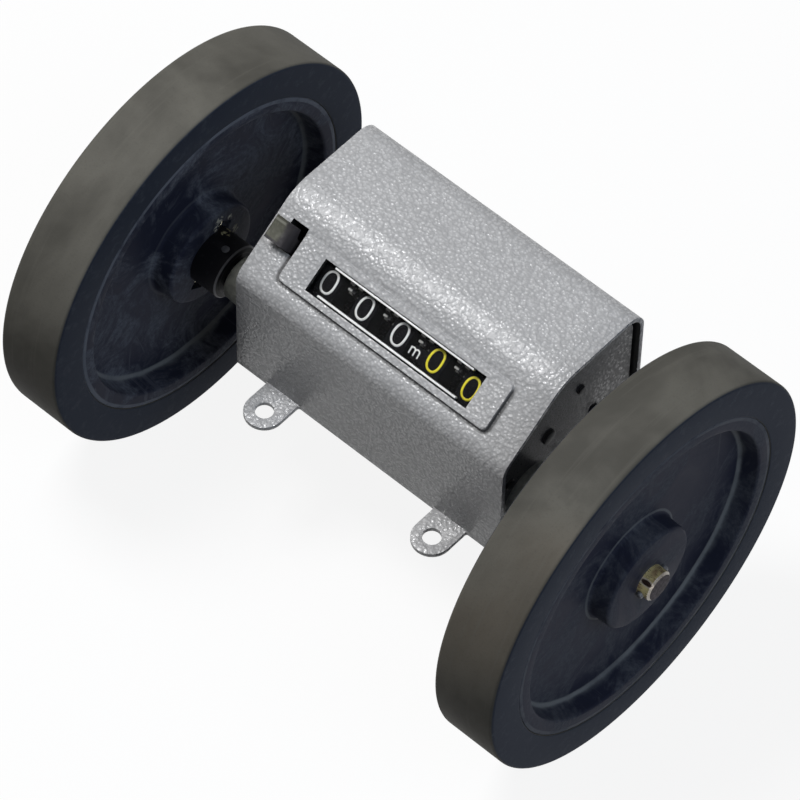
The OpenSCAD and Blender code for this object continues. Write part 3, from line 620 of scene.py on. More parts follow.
def hammered_paint(paint, tones, shade=1.0, depth=0.0003):
    """Hammered enamel: small rounded cells that glitter along the bends, with painted shade darkening the pressed
    line round the raised flat.
    """
    warp = paint.add("TexNoise", {"Vector": paint.place, "Scale": 900.0, "Detail": 1.0}).outputs["Color"]
    place = paint.add("VectorMath", {0: warp, 1: (0.0007, 0.0007, 0.0007), 2: paint.place},
                      operation="MULTIPLY_ADD").outputs["Vector"]
    cells = paint.add("TexVoronoi", {"Vector": place, "Scale": 1150.0, "Smoothness": 0.45},
                      feature="SMOOTH_F1").outputs["Distance"]
    height = paint.math("ADD", paint.times(paint.noise(2600.0, 2.0), 0.2), cells)
    fleck = paint.times(paint.band(height, 0.2, 0.75), 0.7)
    tone = paint.math("ADD", paint.times(paint.noise(60.0), 0.3), fleck)
    dark = shaded(tones.paint_dark, shade)
    enamel = paint.mix(tone, shaded(tones.paint_light, shade), dark)
    crease = paint.add("Attribute", attribute_name="crease").outputs["Fac"]
    # the pressed line is painted darker here: painted shade
    paint.colour(crease, enamel, shaded(dark, 0.42))
    paint.rough(height, 0.15, 0.75, 0.19, 0.44)
    paint.bump(height, 0.6, depth)


def hub_plastic(hub, tones):
    """Blue-black moulding with dust in the pockets, scuffs, a pale line on the rim, pale rings in the pockets'
    corners that are partly dust and partly a painted sheen, painted light on the left hub's inner face and painted
    glints by the pin slot.
    """
    cloud = hub.noise(60.0, 8.0, 0.68, 1.4)
    scratch = hub.noise(14.0, 5.0, 0.7, 3.0, hub.stretched(1.0, 6.0, 1.0))
    dust = hub.times(hub.band(cloud, 0.42, 0.62, 0.0, 0.85),
                     hub.band(hub.noise(900.0, 4.0, 0.7), 0.35, 0.65, 0.45, 1.0))
    wander = hub.band(hub.noise(160.0), 0.3, 0.7, -0.07, 0.07)
    radius = hub.math("ADD", hub.radius(), wander)
    along = hub.xyz()[0]
    # pale rings at the pocket floor's fillet and the boss's root: dust and a painted sheen, stronger on the right
    # wheel
    floor_dust_and_sheen = hub.hill(radius, 37.8, 38.4, 38.75, 39.15)
    boss_dust_and_sheen = hub.times(hub.hill(radius, 14.5, 14.8, 15.1, 15.4), hub.band(along, -1, 1, 0.2, 0.6))
    rings = hub.times(hub.most(floor_dust_and_sheen, boss_dust_and_sheen), hub.band(hub.noise(90.0, 4.0), 0.25, 0.6, 0.5, 1.0))
    rim = hub.times(hub.band(radius, 42.2, 42.6), hub.band(hub.noise(200.0), 0.2, 0.5))
    amount = hub.most(dust, hub.band(scratch, 0.60, 0.66, 0.0, 0.35), rim)
    # dust on the left hub's inner face painted lighter: painted light where that face lies in shade
    left_inner_painted_light = hub.hill(along, -68.5, -67.5, -1, 1)
    dust_with_painted_light = hub.mix(amount, tones.hub, hub.mix(left_inner_painted_light, tones.dust, shaded(tones.dust, 1.6)))
    face = HUB_LOW.x / MM
    # painted glints round the drive pin's slot
    painted_glint = hub.specks((face, 8.3, 2.2, 1.5), (face, 3.0, 10.2, 1.5), (face, 1.9, 8.2, 1.2),
                        (face, 6.6, 8.4, 1.0))
    hub.colour(painted_glint, hub.mix(rings, dust_with_painted_light, (0.235, 0.25, 0.265)), (0.72, 0.71, 0.62))
    hub.rough(cloud, 0.3, 0.75, 0.42, 0.66)
    hub.bump(1400.0, 0.18, 0.0001)


def tread_rubber(tread, tones):
    """Worn tread, brownish where cables run, with dark flat sides."""
    wide = tread.band(tread.noise(26.0, 4.0, 0.6, 0.4), 0.35, 0.68)
    tan = tread.band(tread.noise(11.0, 2.0, 0.5, 0.3), 0.52, 0.72, 0.0, 0.6)
    rings = tread.noise(900.0, 3.0, 0.6, 0.0, tread.stretched(1.0, 0.03, 0.03))
    grain = tread.noise(1800.0)
    pale = shaded(tones.tread, 1.35)
    deep = shaded(tones.tread, 0.75)
    toned = tread.mix(tan, tread.mix(wide, deep, pale), (0.150, 0.128, 0.100))
    lined = tread.mix(tread.band(rings, 0.52, 0.72, 0.0, 0.3), toned, pale)
    speckled = tread.mix(tread.band(grain, 0.5, 0.8, 0.0, 0.3), lined, deep)
    dust = tread.band(tread.noise(300.0, 5.0, 0.7), 0.5, 0.75, 0.0, 0.35)
    side = tread.mix(dust, tones.tyre_side, tones.dust)
    tread.colour(tread.band(tread.facing(), 0.55, 0.9), speckled, side)
    tread.bump(grain, 0.25, 0.00012)


def lever_steel(steel, tones):
    """Olive-grey sheet with lighter scuffed patches on the tab, painted shade where it bends down and along its
    lower edge, and a painted highlight line near its upper edge.
    """
    rub = steel.band(steel.noise(420.0, 5.0, 0.65, 0.3), 0.52, 0.75, 0.0, 0.6)
    x, y, z = steel.xyz()
    slope = bpy.context.scene.counter_housing.slope
    climb = steel.math("ADD", steel.times(y, math.cos(slope)), steel.times(z, math.sin(slope)))
    along = steel.math("ADD", x, steel.band(steel.noise(300.0), 0.3, 0.7, -0.35, 0.35))
    # painted shade where the tab bends down into the slot
    bent = steel.band(along, -36.6, -35.1, 0.0, 0.86)
    # painted shade along the tab's lower edge
    lower_edge_painted_shade = steel.band(climb, 14.75, 14.45, 0.0, 0.8)
    # a painted highlight line near the tab's upper edge
    upper_painted_highlight = steel.times(steel.hill(climb, 18.7, 19.0, 19.3, 19.6),
                             steel.band(along, -35.6, -36.0, 0.0, 0.7))
    toned = steel.mix(upper_painted_highlight, steel.mix(rub, tones.lever, shaded(tones.lever, 2.4)), (0.20, 0.20, 0.17))
    steel.colour(steel.most(bent, lower_edge_painted_shade), toned, (0.014, 0.012, 0.018))
    steel.rough(steel.noise(900.0), 0.3, 0.7, 0.46, 0.62)
    steel.bump(1500.0, 0.2, 0.00008)


def axle_zinc(zinc, tones):
    """Yellow zinc on the axle's ends with painted shade along the rest, turned end faces painted near black as a
    painted reflection, bright chamfers, and a small dark spot ringed pale on the right end.
    """
    drawn = zinc.noise(2400.0, 3.0, 0.6, 0.0, zinc.stretched(0.2, 1.0, 1.0))
    patch = zinc.band(zinc.noise(330.0, 4.0, 0.6, 0.4), 0.45, 0.68)
    face = zinc.band(zinc.noise(1500.0, 4.0, 0.6), 0.35, 0.65)
    facing = zinc.facing()
    side = zinc.mix(patch, (0.86, 0.75, 0.38), (0.42, 0.30, 0.17))
    chamfered = zinc.mix(zinc.band(facing, 0.25, 0.5), side, (0.36, 0.33, 0.29))
    # turned end faces painted near black: a painted dark reflection
    ended = zinc.mix(zinc.band(facing, 0.93, 0.99), chamfered,
                     zinc.mix(face, (0.012, 0.010, 0.013), (0.06, 0.05, 0.06)))
    end = zinc.math("ABSOLUTE", zinc.xyz()[0])
    # away from its ends the axle is painted near black: painted shade
    middle_painted_shade = zinc.mix(zinc.band(end, 73.0, 74.0), (0.035, 0.034, 0.036), ended)
    mark = zinc.distance(zinc.stretched(400, 1000, 1000), (0.4 * 77.9, -2.75, 2.9))
    lipped = zinc.mix(zinc.band(mark, 1.0, 0.85, 0.0, 0.8), middle_painted_shade, (0.86, 0.76, 0.66))
    zinc.colour(zinc.band(mark, 0.68, 0.5), lipped, (0.06, 0.035, 0.03))
    zinc.set("Roughness", zinc.most(zinc.band(drawn, 0.3, 0.7, 0.24, 0.42),
                                    zinc.band(facing, 0.93, 0.99, 0.0, 0.7)))
    zinc.bump(drawn, 0.12, 0.00004)


def collar_steel(steel, tones):
    """Blackened collar with a painted highlight line along each rim, a faint pale ring on each end face and
    painted glints next to the hub.
    """
    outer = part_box("collar_right")[1][2] / MM
    radius = steel.radius()
    facing = steel.facing()
    # a painted highlight along the outer rim's edge
    rim = steel.times(steel.band(radius, outer - 0.5, outer - 0.3), steel.band(facing, 0.2, 0.5))
    inner = steel.times(steel.hill(radius, outer - 2.0, outer - 1.8, outer - 1.6, outer - 1.4), facing, 0.25)
    spots = steel.band(steel.noise(600.0, 4.0, 0.65), 0.58, 0.75, 0.0, 0.25)
    body = steel.mix(spots, (0.010, 0.010, 0.013), (0.07, 0.07, 0.075))
    face = HUB_LOW.x / MM
    # painted glints on the collar next to the hub
    painted_glint = steel.specks((face - 1.8, 3.1, 6.6, 1.3), (face - 0.9, 5.6, 4.7, 1.2))
    steel.colour(painted_glint, steel.mix(steel.most(rim, inner), body, (0.19, 0.19, 0.205)), (0.72, 0.68, 0.42))
    steel.bump(1200.0, 0.15, 0.00006)


def carry_nylon(nylon, tones):
    """Black nylon of the carry pinions, with pale tooth tips that are a painted highlight."""
    # pale tooth tips: painted highlight
    tip = nylon.band(nylon.radius(*JOINTS["pinion_1_spin"]["pos_m"][1:]), 2.1, 2.35)
    nylon.colour(tip, (0.012, 0.012, 0.012), (0.92, 0.91, 0.87))
    nylon.bump(1800.0, 0.1, 0.00005)


def metal(plating, tones, rgb, stain=0.25):
    """Plated or drawn metal with a fine grain and a stain."""
    grain = plating.noise(2400.0, 3.0, 0.6)
    patch = plating.band(plating.noise(250.0, 4.0, 0.6, 0.4), 0.42, 0.7)
    plating.colour(patch, rgb, shaded(rgb, 1 - stain))
    plating.rough(grain, 0.3, 0.7, plating.roughness * 0.8, plating.roughness * 1.35)
    plating.bump(grain, 0.12, 0.00004)


def two_tone(surface, tones, noise, pair, bump=None, limits=None, alpha=1.0):
    """Two colours, or a setting's colour and its shade, mixed by a noise between its limits."""
    if isinstance(pair[0], str):
        rgb = getattr(tones, pair[0])
        pair = (rgb, shaded(rgb, pair[1]))
    factor = surface.noise(*noise)
    surface.colour(surface.band(factor, *limits) if limits else factor, *pair)
    surface.set("Alpha", alpha)
    if bump:
        surface.bump(*bump)


# Bumps and noise limits of the printed numerals
PRINT = ((3000.0, 0.1, 0.00004), (0.45, 0.8))
# Maker, metallic, roughness and specular level of each finish, then what else its maker takes
FINISHES = {
    "hammered_paint": (hammered_paint, 0.08, 0.42, 0.34),
    # the cover's paint at 0.22 of its colour: painted shade on the end plates
    "end_paint": (hammered_paint, 0.08, 0.42, 0.34, 0.22, 0.00003),
    "hub_plastic": (hub_plastic, 0.0, 0.5, 0.03),
    "tread_rubber": (tread_rubber, 0.0, 0.62, 0.06),
    "lever_steel": (lever_steel, 0.2, 0.5, 0.25),
    "axle_zinc": (axle_zinc, 0.7, 0.32, 0.5),
    "collar_steel": (collar_steel, 0.1, 0.5, 0.15),
    "carry_nylon": (carry_nylon, 0.0, 0.45, 0.3),
    "dull_steel": (metal, 0.3, 0.45, 0.5, (0.17, 0.175, 0.19), 0.3),
    "plated_steel": (metal, 1.0, 0.32, 0.5, (0.58, 0.57, 0.54)),
    "pin_zinc": (metal, 1.0, 0.24, 0.5, (0.95, 0.90, 0.72), 0.2),
    "bronze": (metal, 1.0, 0.4, 0.5, (0.52, 0.35, 0.16)),
    "gear_brass": (metal, 1.0, 0.33, 0.5, (0.62, 0.47, 0.20)),
    "bright_strip": (metal, 0.3, 0.4, 0.5, (0.92, 0.92, 0.91), 0.1),
    "spring_steel": (metal, 1.0, 0.3, 0.5, (0.42, 0.42, 0.43)),
    # near-black paint that stands in for the shade inside the housing and on the openings' cut walls
    "inner_primer": (two_tone, 0.0, 0.7, 0.5, (300.0,), ((0.010, 0.010, 0.010), (0.022, 0.022, 0.021)),
                     (1500.0, 0.3, 0.0001)),
    # a plain copy of the cover's paint, a little darker, as painted shade on the bearing bosses
    "boss_paint": (two_tone, 0.05, 0.4, 0.3, (700.0,), ((0.40, 0.405, 0.36), (0.27, 0.275, 0.245)),
                   (700.0, 0.35, 0.0002), (0.35, 0.7)),
    "drum_black": (two_tone, 0.0, 0.8, 0.03, (900.0,), ("drum", 2.2), (2500.0, 0.1, 0.00005)),
    "numeral_white": (two_tone, 0.0, 0.45, 0.5, (1800.0, 4.0), ("numeral", 0.82), *PRINT),
    "numeral_yellow": (two_tone, 0.0, 0.45, 0.5, (1800.0, 4.0), ("tenth", 0.82), *PRINT),
    "black_steel": (two_tone, 0.2, 0.46, 0.25, (600.0, 4.0, 0.65),
                    ((0.010, 0.010, 0.012), (0.11, 0.11, 0.11)), (1200.0, 0.15, 0.00006),
                    (0.58, 0.75, 0.0, 0.5)),
    "gear_nylon": (two_tone, 0.0, 0.45, 0.5, (700.0,), ((0.62, 0.61, 0.55), (0.50, 0.49, 0.43)),
                   (1800.0, 0.1, 0.00005)),
    "clear_pane": (two_tone, 0.0, 0.06, 0.5, (400.0, 4.0), ((0.10, 0.10, 0.10), (0.05, 0.05, 0.05)),
                   None, None, 0.05),
}
MADE = {}


def finish_of(name):
    """The finish of that name, made when it is first asked for."""
    if name not in MADE:
        maker, metallic, roughness, specular, *values = FINISHES[name]
        surface = Finish(name, metallic, roughness, specular)
        maker(surface, bpy.context.scene.counter_finish, *values)
        MADE[name] = surface.material
    return MADE[name]


# Stage

# Name, place, target, size and colour of each lamp
LAMPS = (
    ("key", (-0.42, -0.10, 1.01), (0, 0.01, 0), 0.40, (1, 1, 1)),
    ("fill", (0.80, -0.10, 0.85), (0, 0, 0), 0.60, (0.72, 0.84, 1.0)),
)
FLOOR_SIZE = 8


class COUNTER_OT_stage(bpy.types.Operator):
    """Adds the pale floor, the soft lamps, the sky and the camera"""
    bl_idname = "counter.stage"
    bl_label = "Stage"

    def execute(self, context):
        stage = context.scene.counter_stage
        deselect()
        bpy.ops.mesh.primitive_plane_add(size=FLOOR_SIZE, location=(0, 0, cad_bounds[0][2]))
        floor = bpy.context.object
        floor.name = "floor"
        settle(floor)
        floor.data.materials.append(self.floor_finish(stage))
        for name, place, target, size, tint in LAMPS:
            deselect()
            bpy.ops.object.light_add(type="AREA", location=place)
            lamp = bpy.context.object
            lamp.name = name
            lamp.data.size = size
            lamp.data.energy = getattr(stage, name)
            lamp.data.color = tint
            lamp.rotation_euler = (Vector(target) - lamp.location).to_track_quat("-Z", "Y").to_euler()
        self.sky(context.scene, stage)
        self.camera(context.scene, stage)
        context.scene.view_settings.view_transform = "Standard"
        return {"FINISHED"}

    def floor_finish(self, stage):
        """White to the camera, with the object's shadow kept."""
        floor = Finish("pale_floor", 0.0, 0.8, 0.0)
        glow = floor.add("Emission", {"Color": (1, 1, 1, 1), "Strength": 1.0}).outputs[0]
        rays = floor.add("LightPath").outputs
        seen = floor.most(rays["Is Glossy Ray"], rays["Is Transmission Ray"], rays["Is Camera Ray"])
        floor.colour(seen, (0.07, 0.07, 0.07), (0.95, 0.95, 0.95))
        mix = floor.add("MixShader", {0: floor.times(seen, stage.shine), 1: floor.shader.outputs[0], 2: glow})
        floor.tree.links.new(mix.outputs[0], floor.tree.nodes["Material Output"].inputs["Surface"])
        return floor.material

    def sky(self, scene, stage):
        """A plain sky: white to the camera, paler in reflections, softer still as a light."""
        scene.world = bpy.data.worlds.new("sky")
        scene.world.use_nodes = True
        nodes = Nodes(scene.world.node_tree)
        background = nodes.tree.nodes["Background"]
        rays = nodes.add("LightPath").outputs
        seen = nodes.most(rays["Is Transmission Ray"], rays["Is Camera Ray"], stage.ambient)
        nodes.put((1, 1, 1), background.inputs["Color"])
        nodes.put(nodes.most(nodes.times(rays["Is Glossy Ray"], stage.gloss), seen),
                  background.inputs["Strength"])

    def camera(self, scene, stage):
        """The photograph's view."""
        turn = (Matrix.Rotation(math.radians(stage.azimuth), 3, "Z")
                @ Matrix.Rotation(math.radians(90 - stage.elevation), 3, "X")
                @ Matrix.Rotation(math.radians(stage.roll), 3, "Z"))
        deselect()
        bpy.ops.object.camera_add(location=turn @ Vector((stage.across, stage.upward, stage.distance)))
        camera = bpy.context.object
        camera.rotation_euler = turn.to_euler()
        camera.data.lens = stage.lens
        camera.data.sensor_width = 36
        camera.data.clip_start = 0.1
        camera.data.clip_end = 20
        scene.camera = camera


# Wheels


class COUNTER_OT_tyres(bpy.types.Operator):
    """Adds the two rubber tyres"""
    bl_idname = "counter.tyres"
    bl_label = "Tyres"

    def execute(self, context):
        wheel = context.scene.counter_wheels
        inner = TYRE_HIGH.z - wheel.tyre_t
        edge = wheel.tyre_edge
        outline = [(TYRE_LOW.x, inner, edge * 0.5), (TYRE_LOW.x, TYRE_HIGH.z, edge),
                   (TYRE_HIGH.x, TYRE_HIGH.z, edge), (TYRE_HIGH.x, inner, edge * 0.5)]
        tyre = turned(outline, "tyre_right_turned", wheel.steps, 6)
        both_sides(tyre, "tyre_left_turned", 40, "wheel_axle", "tread_rubber", "tread_rubber", "tyre_")
        return {"FINISHED"}


class COUNTER_OT_hubs(bpy.types.Operator):
    """Adds the two moulded hubs with their pockets, bosses and pin slots"""
    bl_idname = "counter.hubs"
    bl_label = "Hubs"

    def execute(self, context):
        wheel = context.scene.counter_wheels
        rim = TYRE_HIGH.z - wheel.tyre_t
        mouth = rim - wheel.rim_t
        floor_r = mouth - wheel.draft
        boss = wheel.boss_r
        foot = boss + wheel.boss_draft
        face_in = TYRE_LOW.x + wheel.rim_sink
        face_end = TYRE_HIGH.x - wheel.rim_sink
        floor_in = TYRE_LOW.x + wheel.pocket_in
        floor_out = TYRE_HIGH.x - wheel.pocket_out
        outline = [(HUB_LOW.x, AXLE_R, 0), (HUB_HIGH.x, AXLE_R, 0), (HUB_HIGH.x, boss, wheel.boss_edge),
                   (floor_out, foot, wheel.root), (floor_out, floor_r, wheel.root),
                   (face_end, mouth, wheel.mouth_edge), (face_end, rim, wheel.rim_edge),
                   (face_in, rim, wheel.rim_edge), (face_in, mouth, wheel.mouth_edge),
                   (floor_in, floor_r, wheel.root), (floor_in, foot, wheel.root),
                   (HUB_LOW.x, boss, wheel.boss_edge)]
        hub = turned(outline, "wheel_hub_right_turned", wheel.steps)
        self.cut_slot(hub, wheel)
        both_sides(hub, "wheel_hub_left_turned", 40, "wheel_axle", "hub_plastic", "hub_plastic", "wheel_hub_")
        return {"FINISHED"}

    def cut_slot(self, hub, wheel):
        """Cuts the slot for the drive pin, whose length comes from its turned box and its diameter."""
        low, high = corners(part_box("drive_pins"))
        diameter = wheel.slot_w - 2 * wheel.slot_gap
        pin = (high.y - low.y - diameter * math.sin(wheel.slot_angle)) / math.cos(wheel.slot_angle)
        reach = pin / 2 + wheel.slot_gap
        tool = block((HUB_LOW.x - MM, -reach, -wheel.slot_w / 2),
                     (high.x + wheel.slot_under, reach, wheel.slot_w / 2))
        turn_about_axle(wheel.slot_angle)
        settle(tool)
        finish_with(hub, "BOOLEAN", operation="DIFFERENCE", solver="EXACT", object=tool)
        bpy.data.objects.remove(tool)


class COUNTER_OT_axle(bpy.types.Operator):
    """Adds the axle with its collars and pins"""
    bl_idname = "counter.axle"
    bl_label = "Axle, collars and pins"

    def execute(self, context):
        stand_ins("axle")
        return {"FINISHED"}


# Housing


def slope_frame(housing):
    """The foot of the window slope, the way up it, the way out of it and the climb to its middle."""
    up = Vector((0, math.cos(housing.slope), math.sin(housing.slope)))
    out = Vector((0, -math.sin(housing.slope), math.cos(housing.slope)))
    depth = housing.wall + housing.pane_t + housing.drum_gap + DRUM_R
    middle = Vector((0, DRUM_AXIS.y, DRUM_AXIS.z)) + out * depth
    climb = (middle.y - COVER_LOW.y) / up.y
    return middle - up * climb, up, out, climb


class COUNTER_OT_cover(bpy.types.Operator):
    """Adds the bent sheet cover with the raised flat, the window and the lever's slot"""
    bl_idname = "counter.cover"
    bl_label = "Cover"

    def execute(self, context):
        housing = context.scene.counter_housing
        self.foot, self.up, self.out, self.middle = slope_frame(housing)
        self.low = self.middle - housing.raised_down
        self.high = self.middle + housing.raised_up
        self.window = (self.middle - housing.window_h / 2, self.middle + housing.window_h / 2)
        self.window_end = housing.window_l / 2 + housing.window_more
        self.slot_x = (-housing.raised_l / 2 - housing.slot_l, -housing.raised_l / 2)
        crest = self.foot + self.up * ((COVER_HIGH.z - self.foot.z) / self.up.z)
        start = COVER_LOW.x
        line = [(start, COVER_LOW.y, COVER_LOW.z), (start, self.foot.y, self.foot.z),
                (start, crest.y, crest.z), (start, COVER_HIGH.y, COVER_HIGH.z),
                (start, COVER_HIGH.y, COVER_LOW.z)]
        sheet = draw(line, "cover_pressed", closed=False)
        edit(sheet)
        bpy.ops.mesh.extrude_region_move(TRANSFORM_OT_translate={"value": (COVER_HIGH.x - start, 0, 0)})
        done()
        self.bend(sheet, self.foot, housing.front_r, math.pi / 2 - housing.slope)
        self.bend(sheet, crest, housing.top_r, housing.slope)
        self.bend(sheet, COVER_HIGH, housing.back_r, math.pi / 2)
        self.divide(sheet, housing)
        pick(sheet, "FACE", lambda face: self.opens(face, housing))
        bpy.ops.mesh.delete(type="FACE")
        done()
        self.press(sheet, housing)
        self.thicken(sheet, housing)
        hand_over(sheet, "housing", "hammered_paint", "hammered_paint", "cover")
        # inner faces and the openings' cut walls get near-black paint: painted shade
        sheet.data.materials.append(finish_of("inner_primer"))
        for face in sheet.data.polygons:
            if self.is_inside(face, housing):
                face.material_index = 1
        return {"FINISHED"}

    def bend(self, sheet, place, radius, turn):
        """Rounds one bend line of the sheet."""
        points = [vertex.co.copy() for vertex in sheet.data.vertices]
        pick(sheet, "EDGE", lambda edge: all(
            abs(points[i].y - place.y) < SAME and abs(points[i].z - place.z) < SAME for i in edge.vertices))
        bpy.ops.mesh.bevel(offset_type="OFFSET", offset=radius * math.tan(turn / 2),
                           segments=BEND_STEPS, affect="EDGES", clamp_overlap=False)
        done()

    def on_slope(self, point):
        """How far up the slope and how far out of it a point lies."""
        return (point - self.foot).dot(self.up), (point - self.foot).dot(self.out)

    def divide(self, sheet, housing):
        """Cuts the sheet along the lines that the raised flat, the window and the slot need."""
        half = housing.raised_l / 2
        side = housing.raised_side
        parts = [k / FINE_STEPS for k in range(1, FINE_STEPS + 1)]
        fine = [0, *(side * part for part in parts), *(-housing.groove_w * part for part in parts),
                *(side + (housing.raised_r - side) * part for part in parts)]
        across = [sign * (half - x) for sign in (-1, 1) for x in fine]
        across += [-housing.window_l / 2, self.window_end, self.slot_x[0]]
        for x in sorted(across):
            edit(sheet)
            bpy.ops.mesh.bisect(plane_co=(x, 0, 0), plane_no=(1, 0, 0))
            done()
        climbs = [self.low + x for x in fine] + [self.high - x for x in fine]
        climbs += [*self.window, housing.slot_from, housing.slot_to]
        for climb in sorted(climbs):
            pick(sheet, "FACE", lambda face: abs(face.normal.dot(self.out)) > FLAT)
            bpy.ops.mesh.bisect(plane_co=self.foot + self.up * climb, plane_no=self.up)
            done()

    def opens(self, face, housing):
        """Whether a face lies in the window or in the lever's slot."""
        if abs(face.normal.dot(self.out)) < FLAT:
            return False
        x = face.center.x
        climb = self.on_slope(face.center)[0]
        window = -housing.window_l / 2 < x < self.window_end and self.window[0] < climb < self.window[1]
        slot = self.slot_x[0] < x < self.slot_x[1] and housing.slot_from < climb < housing.slot_to
        return window or slot

    def press(self, sheet, housing):
        """Raises the flat round the window, highest at its lower edge, with soft sides, and stores painted shade
        for the pressed line round it.
        """
        low, high = self.low, self.high
        corner = housing.raised_r
        centre = (low + high) / 2
        size = Vector((housing.raised_l / 2 - corner, (high - low) / 2 - corner))
        crease = sheet.data.attributes.new("crease", "FLOAT", "POINT")
        for vertex in sheet.data.vertices:
            climb, height = self.on_slope(vertex.co)
            if abs(height) > SAME or not low - MM < climb < high + MM:
                continue
            past = Vector((max(abs(vertex.co.x) - size.x, 0), max(abs(climb - centre) - size.y, 0)))
            inside = corner - past.length
            fall = min(max((high - climb) / (high - low), 0.0), 1.0)
            lift = housing.raised_t * (housing.raised_top + (1 - housing.raised_top) * fall)
            rise = soft_step(inside / housing.raised_side)
            near = soft_step(1 + inside / housing.groove_w)
            sink = housing.groove * near
            vertex.co += self.out * ((lift + sink) * rise - sink)
            # painted shade along the pressed line: darkest next to the flat, none at its upper edge
            dark = near * (1 - rise) * min(fall * 4, 1)
            crease.data[vertex.index].value = min(PAINTED_CREASE_SHADE * dark, 1)

    def thicken(self, sheet, housing):
        """Gives the sheet its thickness inwards and eases its cut edges."""
        face_out(sheet)
        if sum(face.normal.z * face.area for face in sheet.data.polygons) < 0:
            edit(sheet)
            bpy.ops.mesh.flip_normals()
            done()
        finish_with(sheet, "SOLIDIFY", thickness=housing.wall, offset=-1, use_even_offset=True)
        ease_edges(sheet, housing.ease, 60)
        smooth(sheet)

    def is_inside(self, face, housing):
        """Whether a face looks inwards or is a cut wall of an opening; these get near-black paint as painted
        shade.
        """
        spot = face.center
        edge = housing.wall * 0.6
        climb, height = self.on_slope(spot)
        inside = (COVER_LOW.y + edge < spot.y < COVER_HIGH.y - edge
                  and spot.z < COVER_HIGH.z - edge and height < -edge)
        away = Vector((0, spot.y - (COVER_LOW.y + COVER_HIGH.y) / 2, spot.z))
        cut = (abs(face.normal.dot(self.out)) < CUT_WALL and abs(height) < housing.wall * 1.5
               and abs(climb - self.middle) < housing.raised_up + MM
               and abs(spot.x) < COVER_HIGH.x - 2 * MM)
        return cut or (inside and face.normal.dot(away) < 0)


class COUNTER_OT_base(bpy.types.Operator):
    """Adds the sheet base with its four ears"""
    bl_idname = "counter.base"
    bl_label = "Base plate"

    def execute(self, context):
        stand_in("base_plate", context.scene.counter_housing.ease, "hammered_paint")
        return {"FINISHED"}


class COUNTER_OT_end_plates(bpy.types.Operator):
    """Adds the end plates with their tapered bearing bosses"""
    bl_idname = "counter.end_plates"
    bl_label = "End plates"

    def execute(self, context):
        housing = context.scene.counter_housing
        for side in SIDES:
            # the end plates get the cover's paint darkened as painted shade
            stand_in("end_plate_" + side, housing.ease, "end_paint", shading=20)
        skin = 0.02 * MM
        foot_x = COVER_HIGH.x - MM
        tip_x = PLATE_HIGH.x + skin
        bore = AXLE_R + housing.boss_gap
        foot_r = AXLE_R + housing.boss_foot
        tip_r = AXLE_R + housing.boss_tip
        fillet = housing.boss_fillet
        outline = [(foot_x, bore, 0), (foot_x, foot_r + fillet, 0), (foot_x + skin, foot_r + fillet, 0),
                   (foot_x + 1.5 * skin, foot_r, fillet * 0.98), (tip_x, tip_r, housing.boss_edge),
                   (tip_x, bore, 10 * skin)]
        boss = turned(outline, "bearing_boss_right", BOSS_STEPS, 6)
        # the bearing bosses get the plain, slightly darker copy of the paint: painted shade
        both_sides(boss, "bearing_boss_left", 50, "housing", "hammered_paint", "boss_paint")
        return {"FINISHED"}


class COUNTER_OT_window(bpy.types.Operator):
    """Adds the clear pane, its bright strips and the black mask behind it"""
    bl_idname = "counter.window"
    bl_label = "Window"

    def execute(self, context):
        housing = context.scene.counter_housing
        stand_in("window_pane", housing.pane_edge, "clear_pane")
        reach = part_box("pane_clips")[1][0]
        rim = housing.window_h / 2 - housing.strip_gap
        strips = self.bars(housing, rim - housing.strip_w, rim, (-reach, reach),
                           (-housing.wall, housing.strip_rise), 0, "window_strips")
        ease_edges(strips, housing.strip_edge, segments=3)
        smooth(strips)
        hand_over(strips, "housing", "bright_strip", "bright_strip", "pane_clips")
        half = housing.window_h / 2
        end = housing.window_l / 2 + MM
        mask = self.bars(housing, half - housing.mask_w, half + housing.mask_back,
                         (-end, end + housing.window_more), (-housing.mask_t, 0),
                         housing.wall + housing.pane_t, "window_mask")
        ease_edges(mask, housing.mask_edge)
        hand_over(mask, "housing", "black_steel", "drum_black")
        return {"FINISHED"}

    def bars(self, housing, inner, outer, ends, heights, depth, name):
        """A bar above and one below the window's middle, some depth under the slope's face."""
        foot, up, out, middle = slope_frame(housing)
        pair = []
        for sign in (-1, 1):
            low, high = sorted((sign * inner, sign * outer))
            bar = block((ends[0], low, heights[0]), (ends[1], high, heights[1]))
            turn_about_axle(housing.slope)
            bpy.ops.transform.translate(value=foot + up * middle - out * depth)
            pair.append(settle(bar))
        return join(pair, name)


# Numerals, as strokes in a box 2 wide and 2 high


def arc(cx, cy, rx, ry, start, end, steps=8):
    """Points along an oval arc, angles in degrees."""
    turns = [math.radians(start + (end - start) * k / steps) for k in range(steps + 1)]
    return [(cx + rx * math.cos(t), cy + ry * math.sin(t)) for t in turns]


def oval(steps=22, fullness=2.3):
    """A slightly squared oval that fills the box."""
    points = []
    for k in range(steps):
        turn = math.tau * k / steps
        points.append([math.copysign(abs(v) ** (2 / fullness), v) for v in (math.cos(turn), math.sin(turn))])
    return points


